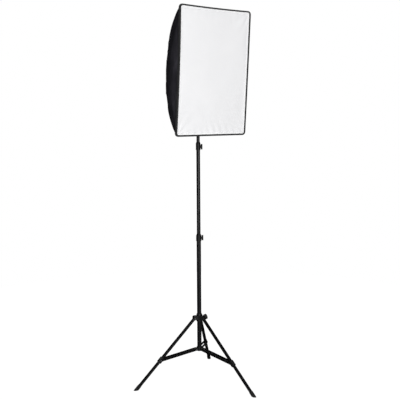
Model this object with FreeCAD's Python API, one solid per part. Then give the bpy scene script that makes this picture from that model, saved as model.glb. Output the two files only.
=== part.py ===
import FreeCAD, Part
import math
import os

# Studio softbox on a telescoping light stand.
# Millimetres. Origin on the floor under the mast, +Z up, the lit face looks towards -Y.

V = FreeCAD.Vector
ORIGIN = V(0, 0, 0)
X_AXIS, Y_AXIS, Z_AXIS = V(1, 0, 0), V(0, 1, 0), V(0, 0, 1)

RUNNING = 0.05    # radial clearance of a running fit
GAP = 0.4         # clearance between parts that move past each other

# ---- mast: three telescoping tubes
COLUMN_OD, MID_OD, TOP_OD = 26.0, 22.0, 19.0
TUBE_WALL = 1.1
COLUMN_Z = (194.0, 868.0)
MID_Z = (790.0, 1404.0)
TOP_Z = (1130.0, 1668.0)
SPIGOT_R = 8.0
SPIGOT_TOP = 1716.0
BUSH_LENGTH = 26.0

# ---- lock collars: lower and upper height range, radius, knob height
LOWER_COLLAR_Z, LOWER_COLLAR_R, LOWER_KNOB_Z = (857.0, 897.0), 15.5, 877.0
UPPER_COLLAR_Z, UPPER_COLLAR_R, UPPER_KNOB_Z = (1393.0, 1439.0), 13.5, 1412.0
KNOB_R, KNOB_THICK, KNOB_LOBES, KNOB_FLANK = 16.0, 10.4, 8, 2.5
STUD_R = 3.0
BOSS_R = 7.5
MAST_KNOB_AZIMUTH = -38.0

# ---- tripod: a sliding hub, three legs and three pairs of brace strips
LEG_AZIMUTHS = (42.9, 162.9, 282.9)
FOOT_RADIUS = 398.0
HUB_Z = (371.0, 420.0)
HUB_R = 17.0
LEG_PIN_R, LEG_PIN_Z = 30.5, 390.0
LEG_OD, LEG_WALL = 19.0, 1.0
KNUCKLE, KNUCKLE_PLUG = 12.0, 38.0    # the knuckle's length above the tube, and the end of its plug
LEG_RUN = FOOT_RADIUS - LEG_PIN_R
LEG_LENGTH = math.hypot(LEG_RUN, LEG_PIN_Z)
LEG_ANGLE = math.degrees(math.atan2(LEG_RUN, LEG_PIN_Z))    # from vertical
FORK_GAP = LEG_OD + 0.8
FORK_EAR, EAR_R, EAR_TOP = 3.0, 8.5, 16.0
PIN_R = 2.5
FOOT_R, FOOT_LENGTH = 11.2, 30.0
RIVET_R, RIVET_HEAD = 4.2, 1.5
HUB_KNOB_AZIMUTH, HUB_KNOB_RISE, HUB_KNOB_Z = -17.1, 15.0, 383.0
HUB_KNOB_THICK, HUB_BOSS_END = 18.0, 30.0

BASE_Z = (190.0, 216.0)
BASE_R = 16.5
BRACE_PIN_R, BRACE_PIN_Z = 21.5, 201.5
BRACE_ALONG_LEG = 0.585     # share of the leg's length, from the hub, at which the braces meet it
STRIP_GAP, STRIP_THICK, STRIP_HEIGHT = LEG_OD + 1.4, 2.0, 15.0
CLIP_LENGTH = 34.0

# ---- head, in its own frame: pivot at the origin, lamp axis level along Y
PIVOT_Z = 1754.0
TILT_AT_REST = 4.0          # the face looks down by this many degrees
AXIS_RISE = 85.0            # lamp axis above the tilt pivot
FACE_Y = -145.0             # front edge of the canopy
FACE_W, FACE_H = 504.0, 704.0
RIM_WIDTH, RIM_DEPTH, RIM_CORNER_R = 8.0, 10.0, 20.0
SKIN = 1.5
CORNER_REACH = math.hypot(FACE_W, FACE_H) / 2
CORNER_X = FACE_W / 2 / CORNER_REACH
CORNER_Z = FACE_H / 2 / CORNER_REACH
# the ribs' bow: depth behind the face and reach from the axis, as a cubic with its end slopes
REAR_DEPTH, REAR_REACH = 320.0, 66.0
REAR_SLOPE, REAR_HANDLE = 76.0, 163.0
FRONT_SLOPE, FRONT_HANDLE = 35.0, 299.0
SIDE_BULGE, END_BULGE = 14.0, 9.0    # outward belly of the tall and of the short panels
SLIT_DEPTHS, SLIT_W = (50.0, 210.0), 40.0
ROD_R = 2.0
ROD_REAR = (314.0, 40.0)     # depth and reach of a rod's seat in the hub plate
ROD_TIP_DEPTH, ROD_TIP_INSET = 17.0, 22.0
ROD_SEAT_R = 5.0
ROD_CAP_R, CAP_SKIRT = 4.0, 12.0
BEND_ROOM = 0.3              # room for the rod's bend in a straight hole

# ---- lamp holder, depths behind the face
HUB_PLATE_DEPTHS, HUB_PLATE_W, HUB_PLATE_H = (308.0, 328.0), 66.0, 92.0
CUFF_DEPTHS, CUFF_W, CUFF_H = (318.0, 332.0), (78.0, 70.0), (109.0, 96.0)
HOLDER_DEPTHS, HOLDER_W, HOLDER_H, HOLDER_WALL = (285.0, 376.0), 56.0, 58.0, 2.5
SWITCH_RISE, SWITCH_W, SWITCH_H = 14.0, 21.0, 14.0
ROCKER_ANGLE = 9.0
INLET_DROP, INLET_W, INLET_H, INLET_DEPTH = 9.5, 27.0, 20.0, 19.0
SOCKET_DEPTHS, SOCKET_R = (243.0, 297.0), 22.0
CAP_R, CAP_DEPTHS = 13.2, (243.0, 268.0)
BALLAST_R, BALLAST_DEPTHS = 26.0, (190.0, 243.0)
SPIRAL_RINGS, SPIRAL_PITCH, SPIRAL_RING_R, SPIRAL_TUBE_R = 6, 15.5, 20.0, 8.2
ARM_W, ARM_THICK, ARM_LOW, ARM_HIGH = 26.0, 4.0, 22.0, 54.0
ARM_RISE = (95.0, 132.0)     # where the bar climbs from its low to its high run, along +Y
TONGUE_THICK, TONGUE_R = 12.0, 14.0
BOLT_R = 4.0


def save(name, shape):
    shape.exportStep("parts/" + name + ".step")


def rod(radius, start, end):
    """Solid cylinder from one point to another."""
    run = end - start
    return Part.makeCylinder(radius, run.Length, start, run)


def pipe(outer, inner, start, end):
    """Round tube between two points, open at both ends."""
    over = (end - start).normalize()
    return rod(outer, start, end).cut(rod(inner, start - over, end + over))


def mast_pipe(outer, inner, heights):
    return pipe(outer, inner, V(0, 0, heights[0]), V(0, 0, heights[1]))


def mast_rod(radius, heights):
    return rod(radius, V(0, 0, heights[0]), V(0, 0, heights[1]))


def block(low, high):
    return Part.makeBox(high.x - low.x, high.y - low.y, high.z - low.z, low)


def spun(points):
    """Solid of revolution about Z from (radius, height) points."""
    outline = [V(radius, 0, height) for radius, height in points]
    return Part.Face(Part.makePolygon(outline + outline[:1])).revolve(ORIGIN, Z_AXIS, 360)


def prism(points, start, run):
    """Flat outline extruded along run, from corner points moved by start."""
    outline = [point + start for point in points]
    return Part.Face(Part.makePolygon(outline + outline[:1])).extrude(run)


def aimed(shape, origin, direction):
    """Move a shape built along +Z so that it starts at origin and points along direction."""
    moved = shape.copy()
    moved.Placement = FreeCAD.Placement(origin, FreeCAD.Rotation(Z_AXIS, direction))
    return moved


def at_azimuth(shape, azimuth):
    return shape.rotated(ORIGIN, Z_AXIS, azimuth)


def compass(azimuth, rise=0.0):
    """Unit vector at an azimuth from +X, lifted by rise degrees."""
    a, e = math.radians(azimuth), math.radians(rise)
    return V(math.cos(a) * math.cos(e), math.sin(a) * math.cos(e), math.sin(e))


def lobed_knob(radius, thick, lobes, neck_r, neck, stud_r, stud):
    """Clamp knob along +Z: a stud, a neck and a fluted head whose face ends at neck + thick."""
    face = neck + thick
    head = spun([(0, neck), (0.78 * radius, neck), (radius, neck + KNOB_FLANK), (radius, face - 2.0),
                 (radius - 0.6, face - 0.6), (radius - 2.0, face), (0, face)])
    flute_r = 0.24 * radius
    for lobe in range(lobes):
        place = compass(360.0 * lobe / lobes) * (radius + 0.62 * flute_r)
        head = head.cut(Part.makeCylinder(flute_r, thick + 2, place + V(0, 0, neck - 1)))
    body = head.fuse(Part.makeCylinder(neck_r, neck + 1))
    return body.fuse(Part.makeCylinder(stud_r, stud + 1, V(0, 0, -stud))).removeSplitter()


# ---------------------------------------------------------------- mast

def lock_collar(heights, radius, outer_tube_r, inner_tube_r, tube_end, knob_z):
    """Sleeve on the end of one tube that guides the next, with a boss for its clamp knob."""
    low, high = heights
    body = spun([(0, low), (radius - 1, low), (radius, low + 1), (radius, high - 9),
                 (radius - 2.0, high - 1), (radius - 3.0, high), (0, high)])
    toward = compass(MAST_KNOB_AZIMUTH)
    boss = rod(BOSS_R, V(0, 0, knob_z), V(0, 0, knob_z) + toward * (radius + 0.8))
    body = body.fuse(boss)
    body = body.cut(mast_rod(outer_tube_r, (low - 1, tube_end)))
    body = body.cut(mast_rod(inner_tube_r + RUNNING, (tube_end - 1, high + 1)))
    return body.cut(rod(STUD_R + RUNNING, V(0, 0, knob_z), V(0, 0, knob_z) + toward * 40))


def mast_knob(collar_r, inner_tube_r, knob_z):
    neck_start = collar_r + 1.1
    stud = neck_start - inner_tube_r - GAP
    knob = lobed_knob(KNOB_R, KNOB_THICK, KNOB_LOBES, 6.0, 0.0, STUD_R, stud)
    toward = compass(MAST_KNOB_AZIMUTH)
    return aimed(knob, V(0, 0, knob_z) + toward * neck_start, toward)


def guide_bush(bottom, tube_r, outer_tube_inner_r):
    """Plastic plug and skirt that centres a tube's lower end in the tube around it."""
    skirt_r = outer_tube_inner_r - RUNNING
    skirt = mast_rod(skirt_r, (bottom - 6, bottom))
    plug = mast_rod(tube_r - TUBE_WALL, (bottom, bottom + BUSH_LENGTH))
    return skirt.fuse(plug).cut(mast_rod(5.0, (bottom - 7, bottom + BUSH_LENGTH + 1)))


def make_mast():
    column_r, mid_r, top_r = COLUMN_OD / 2, MID_OD / 2, TOP_OD / 2
    save("column_tube", mast_pipe(column_r, column_r - TUBE_WALL, COLUMN_Z))
    plug = mast_rod(column_r - TUBE_WALL, (COLUMN_Z[0], COLUMN_Z[0] + 18))
    save("column_end_plug", plug.fuse(mast_rod(column_r, (COLUMN_Z[0] - 3, COLUMN_Z[0]))))
    save("lower_lock_collar", lock_collar(LOWER_COLLAR_Z, LOWER_COLLAR_R, column_r, mid_r,
                                          COLUMN_Z[1], LOWER_KNOB_Z))
    save("lower_lock_knob", mast_knob(LOWER_COLLAR_R, mid_r, LOWER_KNOB_Z))

    save("mid_tube", mast_pipe(mid_r, mid_r - TUBE_WALL, MID_Z))
    save("mid_tube_bush", guide_bush(MID_Z[0], mid_r, column_r - TUBE_WALL))
    save("upper_lock_collar", lock_collar(UPPER_COLLAR_Z, UPPER_COLLAR_R, mid_r, top_r,
                                          MID_Z[1], UPPER_KNOB_Z))
    save("upper_lock_knob", mast_knob(UPPER_COLLAR_R, top_r, UPPER_KNOB_Z))

    save("top_tube", mast_pipe(top_r, top_r - TUBE_WALL, TOP_Z))
    save("top_tube_bush", guide_bush(TOP_Z[0], top_r, mid_r - TUBE_WALL))
    plug_r, top = top_r - TUBE_WALL, TOP_Z[1]
    groove = SPIGOT_TOP - 24
    save("spigot", spun([(0, top - 30), (plug_r, top - 30), (plug_r, top), (top_r, top),
                         (top_r, top + 2), (SPIGOT_R, top + 3), (SPIGOT_R, groove - 9),
                         (SPIGOT_R - 1.5, groove - 7), (SPIGOT_R - 1.5, groove + 7),
                         (SPIGOT_R, groove + 9), (SPIGOT_R, SPIGOT_TOP - 2),
                         (SPIGOT_R - 2, SPIGOT_TOP), (0, SPIGOT_TOP)]))


# ---------------------------------------------------------------- tripod

def fork_ear(side, inner):
    """One ear of a fork at azimuth 0: a plate with a square shoulder over its rounded end at the pin."""
    y0 = FORK_GAP / 2 if side > 0 else -FORK_GAP / 2 - FORK_EAR
    tip = LEG_PIN_R + EAR_R
    plate = prism([V(inner, 0, -EAR_R), V(LEG_PIN_R, 0, -EAR_R), V(LEG_PIN_R, 0, 0), V(tip, 0, 0),
                   V(tip, 0, EAR_TOP - 5), V(tip - 4, 0, EAR_TOP), V(inner, 0, EAR_TOP)],
                  V(0, y0, LEG_PIN_Z), V(0, FORK_EAR, 0))
    return plate.fuse(Part.makeCylinder(EAR_R, FORK_EAR, V(LEG_PIN_R, y0, LEG_PIN_Z), Y_AXIS))


def make_hub():
    """Sliding spider: a sleeve on the column with three forks for the legs."""
    low, high = HUB_Z
    body = spun([(0, low), (HUB_R - 1.5, low), (HUB_R, low + 1.5), (HUB_R, high - 10),
                 (HUB_R - 2.0, high - 1), (HUB_R - 2.8, high), (0, high)])
    for azimuth in LEG_AZIMUTHS:
        for side in (-1, 1):
            body = body.fuse(at_azimuth(fork_ear(side, 8.0), azimuth))
        root = block(V(8, -FORK_GAP / 2, LEG_PIN_Z - EAR_R), V(19, FORK_GAP / 2, LEG_PIN_Z + EAR_TOP))
        body = body.fuse(at_azimuth(root, azimuth))
    toward = compass(HUB_KNOB_AZIMUTH, HUB_KNOB_RISE)
    start = V(0, 0, HUB_KNOB_Z)
    body = body.fuse(rod(BOSS_R, start + toward * 8, start + toward * HUB_BOSS_END))
    body = body.cut(mast_rod(COLUMN_OD / 2 + RUNNING, (low - 1, high + 1)))
    body = body.cut(rod(STUD_R + RUNNING, start, start + toward * 40))
    pins = []
    for azimuth in LEG_AZIMUTHS:
        half = FORK_GAP / 2 + FORK_EAR
        hole = rod(PIN_R, V(LEG_PIN_R, -half - 1, LEG_PIN_Z), V(LEG_PIN_R, half + 1, LEG_PIN_Z))
        body = body.cut(at_azimuth(hole, azimuth))
        pin = rod(PIN_R, V(LEG_PIN_R, -half, LEG_PIN_Z), V(LEG_PIN_R, half, LEG_PIN_Z))
        for side in (-1, 1):
            face = V(LEG_PIN_R, side * half, LEG_PIN_Z)
            pin = pin.fuse(rod(RIVET_R, face, face + V(0, side * RIVET_HEAD, 0)))
        pins.append(at_azimuth(pin, azimuth))
    save("leg_hub", body.removeSplitter())
    save("leg_pivot_pins", Part.makeCompound(pins))

    neck_start = HUB_BOSS_END + 0.3
    stud = neck_start - COLUMN_OD / 2 / math.cos(math.radians(HUB_KNOB_RISE)) - 1.5
    knob = lobed_knob(KNOB_R, HUB_KNOB_THICK, KNOB_LOBES, 6.0, 1.5, STUD_R, stud)
    save("hub_lock_knob", aimed(knob, start + toward * neck_start, toward))


def leg_placed(shape, azimuth):
    """From the leg's own frame, pivot at the origin and leg along -Z, to its place on the stand."""
    leant = shape.rotated(ORIGIN, Y_AXIS, -LEG_ANGLE)
    return at_azimuth(leant.translated(V(LEG_PIN_R, 0, LEG_PIN_Z)), azimuth)


def leg_pieces():
    """Knuckle, tube, clip and foot in the leg's own frame."""
    r, bore = LEG_OD / 2, LEG_OD / 2 - LEG_WALL
    tube = pipe(r, bore, V(0, 0, -KNUCKLE), V(0, 0, KNUCKLE - LEG_LENGTH))
    head = Part.makeCylinder(r, LEG_OD, V(0, -r, 0), Y_AXIS)
    head = head.common(Part.makeCylinder(r, 4 * r, V(0, 0, -2 * r)))
    knuckle = head.fuse(rod(r, V(0, 0, 0), V(0, 0, -KNUCKLE)))
    knuckle = knuckle.fuse(rod(bore, V(0, 0, 1 - KNUCKLE), V(0, 0, -KNUCKLE_PLUG)))
    knuckle = knuckle.cut(rod(PIN_R + RUNNING, V(0, -12, 0), V(0, 12, 0)))

    joint = -LEG_LENGTH * BRACE_ALONG_LEG
    half_width = STRIP_GAP / 2 - 0.3
    sleeve = block(V(-r - 3, -half_width, joint - CLIP_LENGTH / 2),
                   V(r + 2, half_width, joint + CLIP_LENGTH / 2))
    long_edges = [e for e in sleeve.Edges if abs(e.Length - CLIP_LENGTH) < 0.01]
    sleeve = sleeve.makeFillet(3.5, long_edges)
    clip = sleeve.cut(rod(r, V(0, 0, joint - 30), V(0, 0, joint + 30)))
    return {"leg_knuckle": knuckle.removeSplitter(), "leg_tube": tube, "leg_clip": clip}


def leg_foot():
    """Rubber boot over the tube's end, cut off level on the floor; in the stand's frame at azimuth 0."""
    r = LEG_OD / 2
    top, end = -(LEG_LENGTH - FOOT_LENGTH), -(LEG_LENGTH + 10)
    boot = rod(FOOT_R, V(0, 0, top), V(0, 0, end))
    boot = boot.fuse(spun([(0, top), (FOOT_R, top), (r + 0.6, top + 5), (0, top + 5)]))
    boot = boot.cut(rod(r, V(0, 0, top + 6), V(0, 0, KNUCKLE - LEG_LENGTH)))
    placed = leg_placed(boot, 0.0)
    return placed.cut(block(V(200, -60, -60), V(600, 60, 0)))


def brace_ends():
    """Inner and outer pivot of a brace at azimuth 0."""
    inner = V(BRACE_PIN_R, 0, BRACE_PIN_Z)
    along = LEG_LENGTH * BRACE_ALONG_LEG
    lean = math.radians(LEG_ANGLE)
    outer = V(LEG_PIN_R + along * math.sin(lean), 0, LEG_PIN_Z - along * math.cos(lean))
    return inner, outer


def brace_strips():
    """Two flat strips with round ends, one each side of the leg; at azimuth 0."""
    inner, outer = brace_ends()
    run = (outer - inner).normalize()
    across = V(-run.z, 0, run.x) * (STRIP_HEIGHT / 2)
    strips = []
    for side in (-1, 1):
        y0 = STRIP_GAP / 2 if side > 0 else -STRIP_GAP / 2 - STRIP_THICK
        lift = V(0, y0, 0)
        plate = prism([inner + across, outer + across, outer - across, inner - across],
                      lift, V(0, STRIP_THICK, 0))
        for end in (inner, outer):
            plate = plate.fuse(Part.makeCylinder(STRIP_HEIGHT / 2, STRIP_THICK, end + lift, Y_AXIS))
        for end in (inner, outer):
            plate = plate.cut(Part.makeCylinder(PIN_R, STRIP_THICK + 2, end + lift - V(0, 1, 0), Y_AXIS))
        strips.append(plate.removeSplitter())
    return strips


def brace_rivets():
    """Through pin at the base collar, and a rivet in each strip at the leg; at azimuth 0."""
    inner, outer = brace_ends()
    half = STRIP_GAP / 2 + STRIP_THICK
    pin = rod(PIN_R, inner - V(0, half, 0), inner + V(0, half, 0))
    rivets = []
    for side in (-1, 1):
        face = V(0, side * half, 0)
        pin = pin.fuse(rod(RIVET_R, inner + face, inner + face + V(0, side * RIVET_HEAD, 0)))
        shank = rod(PIN_R, outer + V(0, side * STRIP_GAP / 2, 0), outer + face)
        head = rod(RIVET_R, outer + face, outer + face + V(0, side * RIVET_HEAD, 0))
        rivets.append(shank.fuse(head))
    return [pin] + rivets


def make_base_collar():
    low, high = BASE_Z
    body = spun([(0, low), (BASE_R - 1, low), (BASE_R, low + 1), (BASE_R, high - 2),
                 (BASE_R - 2, high), (0, high)])
    half = STRIP_GAP / 2 - 0.4
    for azimuth in LEG_AZIMUTHS:
        lug = block(V(8, -half, BRACE_PIN_Z - 7), V(BRACE_PIN_R, half, BRACE_PIN_Z + 7))
        lug = lug.fuse(Part.makeCylinder(7, 2 * half, V(BRACE_PIN_R, -half, BRACE_PIN_Z), Y_AXIS))
        body = body.fuse(at_azimuth(lug, azimuth))
    body = body.cut(mast_rod(COLUMN_OD / 2, (COLUMN_Z[0] - 3, high + 1)))
    body = body.cut(mast_rod(9.0, (low - 1, COLUMN_Z[0])))
    for azimuth in LEG_AZIMUTHS:
        hole = rod(PIN_R + RUNNING, V(BRACE_PIN_R, -20, BRACE_PIN_Z), V(BRACE_PIN_R, 20, BRACE_PIN_Z))
        body = body.cut(at_azimuth(hole, azimuth))
    save("base_collar", body.removeSplitter())


def make_tripod():
    make_hub()
    make_base_collar()
    pieces, foot = leg_pieces(), leg_foot()
    strips, rivets = brace_strips(), brace_rivets()
    for number, azimuth in enumerate(LEG_AZIMUTHS, start=1):
        for name, shape in pieces.items():
            save(f"{name}_{number}", leg_placed(shape, azimuth))
        save(f"leg_foot_{number}", at_azimuth(foot, azimuth))
        save(f"brace_strips_{number}", at_azimuth(Part.makeCompound(strips), azimuth))
        save(f"brace_rivets_{number}", at_azimuth(Part.makeCompound(rivets), azimuth))


# ---------------------------------------------------------------- head

def head_placed(shape):
    """From the head's level frame to the stand's frame, tilted as it rests."""
    return shape.rotated(ORIGIN, X_AXIS, TILT_AT_REST).translated(V(0, 0, PIVOT_Z))


def axis_point(depth):
    """Point on the lamp axis at a depth behind the face."""
    return V(0, FACE_Y + depth, AXIS_RISE)


def axis_rod(radius, depths):
    return rod(radius, axis_point(depths[0]), axis_point(depths[1]))


def axis_box(width, height, depths):
    """Box centred on the lamp axis between two depths."""
    return block(axis_point(depths[0]) - V(width / 2, 0, height / 2),
                 axis_point(depths[1]) + V(width / 2, 0, height / 2))


def rounded_box(width, height, depths, corner_r):
    box = axis_box(width, height, depths)
    run = depths[1] - depths[0]
    long_edges = [e for e in box.Edges
                  if abs(e.Length - run) < 0.01 and abs(e.tangentAt(e.FirstParameter).y) > 0.99]
    return box.makeFillet(corner_r, long_edges)


def bow_poles(rear_depth, rear_reach, front_depth, front_reach):
    """Poles (depth, reach) of the cubic that a bent rib follows."""
    rear, front = math.radians(REAR_SLOPE), math.radians(FRONT_SLOPE)
    return [(rear_depth, rear_reach),
            (rear_depth - REAR_HANDLE * math.cos(rear), rear_reach + REAR_HANDLE * math.sin(rear)),
            (front_depth + FRONT_HANDLE * math.cos(front), front_reach - FRONT_HANDLE * math.sin(front)),
            (front_depth, front_reach)]


CANOPY_BOW = bow_poles(REAR_DEPTH, REAR_REACH, 0.0, CORNER_REACH)


def bow_at(poles, share):
    """Depth and reach on a cubic, 0 at its rear end and 1 at its front."""
    back = 1 - share
    weights = (back ** 3, 3 * share * back ** 2, 3 * share ** 2 * back, share ** 3)
    depth = sum(w * pole[0] for w, pole in zip(weights, poles))
    reach = sum(w * pole[1] for w, pole in zip(weights, poles))
    return depth, reach


def canopy_reach(depth):
    """Reach of the canopy's corner seam at a depth behind the face."""
    low, high = 0.0, 1.0
    for _ in range(40):
        middle = (low + high) / 2
        if bow_at(CANOPY_BOW, middle)[0] > depth:
            low = middle
        else:
            high = middle
    return bow_at(CANOPY_BOW, low)[1]


def panel_section(depth, quarter):
    """Closed outline of one side panel's cloth at a depth; quarter 0 right, 1 top, 2 left, 3 bottom."""
    reach = canopy_reach(depth)
    half_w, half_h = reach * CORNER_X, reach * CORNER_Z
    corners = [(1, -1), (1, 1), (-1, 1), (-1, -1)]
    first, second = corners[quarter], corners[(quarter + 1) % 4]
    outward = (V(1, 0, 0), V(0, 0, 1), V(-1, 0, 0), V(0, 0, -1))[quarter]
    belly = (SIDE_BULGE, END_BULGE)[quarter % 2] * math.sin(math.pi * min(1.0, depth / REAR_DEPTH))
    curves = []
    for inset in (0.0, SKIN):
        ends = [axis_point(depth) + V(sx * (half_w - inset), 0, sz * (half_h - inset))
                for sx, sz in (first, second)]
        curves.append((ends[0], (ends[0] + ends[1]) * 0.5 + outward * (2 * belly), ends[1]))
    outer, inner = Part.BezierCurve(), Part.BezierCurve()
    outer.setPoles(list(curves[0]))
    inner.setPoles(list(reversed(curves[1])))
    return Part.Wire([outer.toShape(),
                      Part.makeLine(curves[0][2], curves[1][2]),
                      inner.toShape(),
                      Part.makeLine(curves[1][0], curves[0][0])])


def make_canopy():
    front, rear = RIM_DEPTH - 1, REAR_DEPTH - 2
    stations = [front + (rear - front) * share for share in (0, 0.15, 0.3, 0.45, 0.6, 0.74, 0.86, 0.95, 1)]
    for quarter, name in enumerate(("right", "top", "left", "bottom")):
        panel = Part.makeLoft([panel_section(depth, quarter) for depth in stations], True, False)
        if name == "bottom":
            start, end = axis_point(SLIT_DEPTHS[0]), axis_point(SLIT_DEPTHS[1])
            half = SLIT_W / 2
            slit = block(V(-half, start.y + half, -400), V(half, end.y - half, 0))
            for y in (start.y + half, end.y - half):
                slit = slit.fuse(rod(half, V(0, y, -400), V(0, y, 0)))
            panel = panel.cut(slit.removeSplitter())
        save("canopy_" + name, head_placed(panel))

    rim = rounded_box(FACE_W, FACE_H, (-1.0, RIM_DEPTH - 1), RIM_CORNER_R)
    window = rounded_box(FACE_W - 2 * RIM_WIDTH, FACE_H - 2 * RIM_WIDTH,
                         (-3.0, RIM_DEPTH + 1), RIM_CORNER_R - RIM_WIDTH)
    save("front_binding", head_placed(rim.cut(window)))
    sheet_w = FACE_W - 2 * RIM_WIDTH - 0.6
    sheet_h = FACE_H - 2 * RIM_WIDTH - 0.6
    save("diffuser", head_placed(rounded_box(sheet_w, sheet_h, (0.5, 0.5 + SKIN), 12.0)))


def rod_bow():
    """Poles of one steel rod: inside the canopy's seam, from the hub plate to the front corner."""
    return bow_poles(*ROD_REAR, ROD_TIP_DEPTH, CORNER_REACH - ROD_TIP_INSET)


def in_corner(depth, reach, sx, sz):
    return axis_point(depth) + V(sx * reach * CORNER_X, 0, sz * reach * CORNER_Z)


def arc_bar(start, ahead, end):
    """Round bar along the circular arc that leaves start in the direction ahead and meets end."""
    chord = end - start
    axis = ahead.cross(chord).normalize()
    toward_centre = axis.cross(ahead)
    radius = chord.dot(chord) / (2 * chord.dot(toward_centre))
    turn = 2 * math.degrees(ahead.getAngle(chord))
    section = Part.Face(Part.Wire([Part.makeCircle(ROD_R, start, ahead)]))
    return section.revolve(start + toward_centre * radius, axis, turn)


def joined_arcs(start, ahead, end, end_ahead):
    """Two tangent arcs from start to end that leave and arrive in the given directions."""
    chord, both = end - start, ahead + end_ahead
    twice = 2 * (1 - ahead.dot(end_ahead))
    along = chord.dot(both)
    reach = (math.sqrt(along ** 2 + twice * chord.dot(chord)) - along) / twice
    middle = (start + ahead * reach + end - end_ahead * reach) * 0.5
    chord_in = middle - start
    middle_ahead = chord_in * (2 * chord_in.dot(ahead) / chord_in.dot(chord_in)) - ahead
    return [arc_bar(start, ahead, middle), arc_bar(middle, middle_ahead, end)]


def bent_rod(curve):
    """Spring-steel rod that follows the cubic closely in four tangent arcs."""
    pieces = []
    for share in (0.0, 0.5):
        near, far = curve.value(share), curve.value(share + 0.5)
        pieces += joined_arcs(near, curve.tangent(share)[0], far, curve.tangent(share + 0.5)[0])
    return pieces[0].multiFuse(pieces[1:]).removeSplitter()


def make_rods():
    poles = rod_bow()
    rods, caps, holes, bosses = [], [], [], []
    for sx, sz in ((1, 1), (-1, 1), (-1, -1), (1, -1)):
        curve = Part.BezierCurve()
        curve.setPoles([in_corner(depth, reach, sx, sz) for depth, reach in poles])
        start, ahead = curve.value(0), curve.tangent(0)[0]
        bent = bent_rod(curve)
        rods.append(bent)
        tip, tip_ahead = curve.value(1), curve.tangent(1)[0]
        profile = spun([(0, 0), (ROD_R + BEND_ROOM, 0), (ROD_R + BEND_ROOM, -CAP_SKIRT),
                        (ROD_CAP_R, -CAP_SKIRT), (ROD_CAP_R, 1.5), (ROD_CAP_R - 0.8, 3.6),
                        (ROD_CAP_R - 2.2, 5), (0, 5)])
        caps.append(aimed(profile, tip, tip_ahead))
        holes.append(rod(ROD_R + BEND_ROOM, start, start + ahead * 30))
        bosses.append(rod(ROD_SEAT_R, start - ahead * 4, start + ahead * 14))
    save("frame_rods", head_placed(Part.makeCompound(rods)))
    save("rod_end_caps", head_placed(Part.makeCompound(caps)))
    return holes, bosses


def make_rod_hub(holes, bosses):
    """Plate round the lamp holder with an angled socket for each rod."""
    plate = rounded_box(HUB_PLATE_W, HUB_PLATE_H, HUB_PLATE_DEPTHS, 12.0)
    inside = axis_box(HOLDER_W, HOLDER_H, (200.0, 400.0))
    plate = plate.cut(inside)
    limits = axis_box(2 * HUB_PLATE_W, 2 * HUB_PLATE_H, (250.0, CUFF_DEPTHS[0] - 0.5))
    for boss in bosses:
        plate = plate.fuse(boss.common(limits).cut(inside))
    for hole in holes:
        plate = plate.cut(hole)
    save("rod_hub", head_placed(plate.removeSplitter()))

    outer, inner = [], []
    for depth, width, height in zip(CUFF_DEPTHS, CUFF_W, CUFF_H):
        for wires, inset in ((outer, 0.0), (inner, 2.0)):
            centre = axis_point(depth)
            half_w, half_h = width / 2 - inset, height / 2 - inset
            wires.append(Part.makePolygon([centre + V(sx * half_w, 0, sz * half_h) for sx, sz in
                                           ((1, 1), (-1, 1), (-1, -1), (1, -1), (1, 1))]))
    cuff = Part.makeLoft(outer, True, True).cut(Part.makeLoft(inner, True, True))
    save("rear_cuff", head_placed(cuff.cut(axis_box(HUB_PLATE_W, HUB_PLATE_H, (300.0, 360.0)))))


def make_holder():
    """Two moulded shells round the socket's wiring, with the switch and the inlet in the rear wall."""
    front, rear = HOLDER_DEPTHS
    body = rounded_box(HOLDER_W, HOLDER_H, HOLDER_DEPTHS, 7.0)
    wall = 2 * HOLDER_WALL
    hollow = rounded_box(HOLDER_W - wall, HOLDER_H - wall, (front + HOLDER_WALL, rear - HOLDER_WALL), 5.0)
    body = body.cut(hollow).cut(axis_rod(SOCKET_R, (front - 1, front + 10)))
    body = body.cut(inlet_outline(1.0)).cut(switch_outline())
    upper_half = block(V(-60, 0, AXIS_RISE + 0.001), V(60, 400, AXIS_RISE + 60))
    lower_half = block(V(-60, 0, AXIS_RISE - 60), V(60, 400, AXIS_RISE))
    screws = []
    for sx in (-1, 1):
        for depth in (front + 17, rear - 14):
            spot = axis_point(depth) + V(sx * 19, 0, 0)
            post = rod(3.5, spot - V(0, 0, HOLDER_H / 2 - 1), spot + V(0, 0, HOLDER_H / 2 - 1))
            body = body.fuse(post.common(hollow))
            screw = rod(1.5, spot - V(0, 0, HOLDER_H / 2 - 2.0), spot + V(0, 0, 6))
            head = rod(2.9, spot - V(0, 0, HOLDER_H / 2 - 0.2), spot - V(0, 0, HOLDER_H / 2 - 2.2))
            screws.append(screw.fuse(head))
    for screw in screws:
        body = body.cut(screw)
    save("holder_upper", head_placed(body.common(upper_half).removeSplitter()))
    save("holder_lower", head_placed(body.common(lower_half).removeSplitter()))
    for x in (-7, 7):
        underside = axis_point(front + 10) + V(x, 0, ARM_HIGH - ARM_THICK / 2 - AXIS_RISE)
        screws.append(rod(4.0, underside - V(0, 0, 2.2), underside))
    save("holder_screws", head_placed(Part.makeCompound(screws)))


def switch_centre():
    return axis_point(HOLDER_DEPTHS[1]) + V(0, 0, SWITCH_RISE)


def inlet_centre():
    return axis_point(HOLDER_DEPTHS[1]) - V(0, 0, INLET_DROP)


def switch_outline():
    centre = switch_centre()
    return block(centre - V(SWITCH_W / 2, 16, SWITCH_H / 2), centre + V(SWITCH_W / 2, 2, SWITCH_H / 2))


def inlet_outline(over):
    centre = inlet_centre()
    return block(centre - V(INLET_W / 2, INLET_DEPTH, INLET_H / 2),
                 centre + V(INLET_W / 2, over, INLET_H / 2))


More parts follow.
